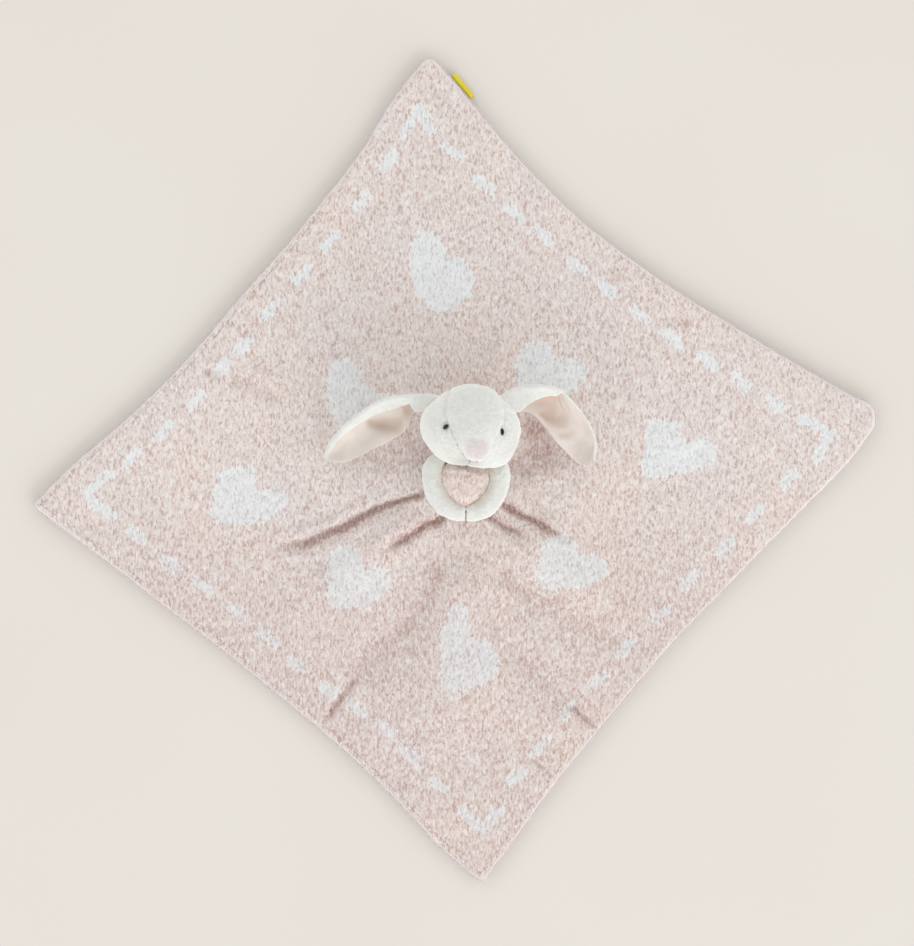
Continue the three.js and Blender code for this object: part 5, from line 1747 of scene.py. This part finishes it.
LABEL_HINGE, LABEL_RUN = np.array([3.946, 253.089, 3.15]), 5.4158
LABEL_WIDTH, LABEL_LENGTH, LABEL_THICKNESS, LABEL_DROOP = 20.0, 3.4, 0.9, math.radians(18)


# The label's profile from the seam to its fold: shares of the bend's place and of half the thickness
LABEL_SIDE = ((0.4, 1.15), (0.8, 1.05))
LABEL_SLIT, SLIT_START, SLIT_HALF = (0.7, 0.2), 0.2, 0.25
LABEL_WAVES, LABEL_OUT = ((0.18, 0.55, 0), (0.1, 1.3, 1)), 0.6  # height, pace and start; past the outline
LABEL_STEPS, LABEL_FOLD_STEPS = 61, 11


def label_profile():
    """The folded tape's section: round its outside, then back along the slit between its layers."""
    half = LABEL_THICKNESS / 2
    bend = LABEL_LENGTH - half
    turn = np.linspace(-math.pi / 2, math.pi / 2, LABEL_FOLD_STEPS)
    lower = [(0, -half)] + [(bend * x, -half * z) for x, z in LABEL_SIDE]
    upper = [(x, -z) for x, z in reversed(lower)]
    fold = [(bend + half * math.cos(a), half * math.sin(a)) for a in turn]
    x, z = LABEL_SLIT
    slit = [(SLIT_START, half * SLIT_HALF), (bend * x, half * z)]
    slit += [(bend, 0.0)] + [(a, -b) for a, b in reversed(slit)]
    return np.array(lower + fold + upper + slit)


def label_piece():
    start = math.hypot(LABEL_OUT + SEAM_GAP, LABEL_THICKNESS / 2)
    profile = label_profile()
    run = np.array([math.cos(LABEL_RUN), math.sin(LABEL_RUN)])
    droop = np.array([math.cos(LABEL_DROOP), math.sin(LABEL_DROOP)])
    rings = []
    for place in np.linspace(-LABEL_WIDTH / 2, LABEL_WIDTH / 2, LABEL_STEPS):
        wave = sum(height * math.sin(place * pace + begin) for height, pace, begin in LABEL_WAVES)
        y, z = profile[:, 0] + start, profile[:, 1] + wave * profile[:, 0] / LABEL_LENGTH
        y, z = y * droop[0] + z * droop[1], z * droop[0] - y * droop[1]
        x, y = place * run[0] - y * run[1], place * run[1] + y * run[0]
        rings.append(np.stack([x, y, z], 1) + LABEL_HINGE)
    made = loft("side_label", rings, ribbon)
    settle(made, "label", "label", "edge_label")
    return made


neck_pieces()
seam_thread()
side_label = label_piece()


# Floor, light and camera

FLOOR_HALF, FLOOR_DOWN = 3.0, 0.0002


def stage_floor():
    mesh = bpy.data.meshes.new("floor")
    half = FLOOR_HALF
    corners = [(-half, -half, 0), (half, -half, 0), (half, half, 0), (-half, half, 0)]
    mesh.from_pydata(corners, [], [(0, 1, 2, 3)])
    floor = bpy.data.objects.new("floor", mesh)
    bpy.context.scene.collection.objects.link(floor)
    look = Look("floor", rough=0.95, specular=0.1)
    colour = look.ramp(look.noise(scale=0.004), two_stops(FLOOR_STOPS, *FLOOR_COLOURS))
    look.link(colour, "Base Color")
    mesh.materials.append(look.material)
    floor.location.z = -FLOOR_DOWN


stage_floor()

LAMP_REACH, LAMP_WIDTH = 5.0, 8.4
LAMP_LOW, LAMP_HIGH = math.radians(7.5), math.radians(36)
# Low, wide lamps all round: direction in degrees, and power. The strongest stands at the lower right.
LAMPS = {"key": (-52, 205), "right": (38, 84), "back": (128, 100), "left": (218, 108)}


def ring_lamps():
    for name, (direction, power) in LAMPS.items():
        lamp = bpy.data.lights.new(name, "AREA")
        lamp.shape = "RECTANGLE"
        low, high = LAMP_REACH * math.tan(LAMP_LOW), LAMP_REACH * math.tan(LAMP_HIGH)
        lamp.size, lamp.size_y = LAMP_WIDTH, high - low
        lamp.energy = power
        made = bpy.data.objects.new(name, lamp)
        angle = math.radians(direction)
        made.location = (LAMP_REACH * math.cos(angle), LAMP_REACH * math.sin(angle), (low + high) / 2)
        made.rotation_euler = (-made.location).to_track_quat("-Z", "Y").to_euler()
        bpy.context.scene.collection.objects.link(made)


ring_lamps()

WORLD_STRENGTH = 0.52
world = bpy.data.worlds.new("world")
world.use_nodes = True
world.node_tree.nodes["Background"].inputs["Color"].default_value = (1, 1, 1, 1)
world.node_tree.nodes["Background"].inputs["Strength"].default_value = WORLD_STRENGTH
bpy.context.scene.world = world

PHOTO_WIDTH, PHOTO_HEIGHT, PIXEL = 914, 946, 0.665 * MM
OUTLINE_MIDDLE = (456.5, 469.5)  # the pixel that the frame's origin falls on
CAMERA_HEIGHT, SENSOR_WIDTH, CAMERA_REACH = 1.6, 36, 20


def place_camera():
    data = bpy.data.cameras.new("camera")
    data.sensor_width = SENSOR_WIDTH
    data.lens = data.sensor_width * CAMERA_HEIGHT / (PHOTO_HEIGHT * PIXEL)
    data.shift_y = -(PHOTO_HEIGHT / 2 - OUTLINE_MIDDLE[1]) / PHOTO_HEIGHT
    data.clip_end = CAMERA_REACH
    camera = bpy.data.objects.new("camera", data)
    aside = PIXEL * (PHOTO_WIDTH / 2 - OUTLINE_MIDDLE[0])
    camera.location = (aside + PATTERN_SHIFT[0] * MM, PATTERN_SHIFT[1] * MM, CAMERA_HEIGHT)
    bpy.context.scene.collection.objects.link(camera)
    bpy.context.scene.camera = camera


place_camera()
bpy.context.scene.view_settings.view_transform = "Standard"
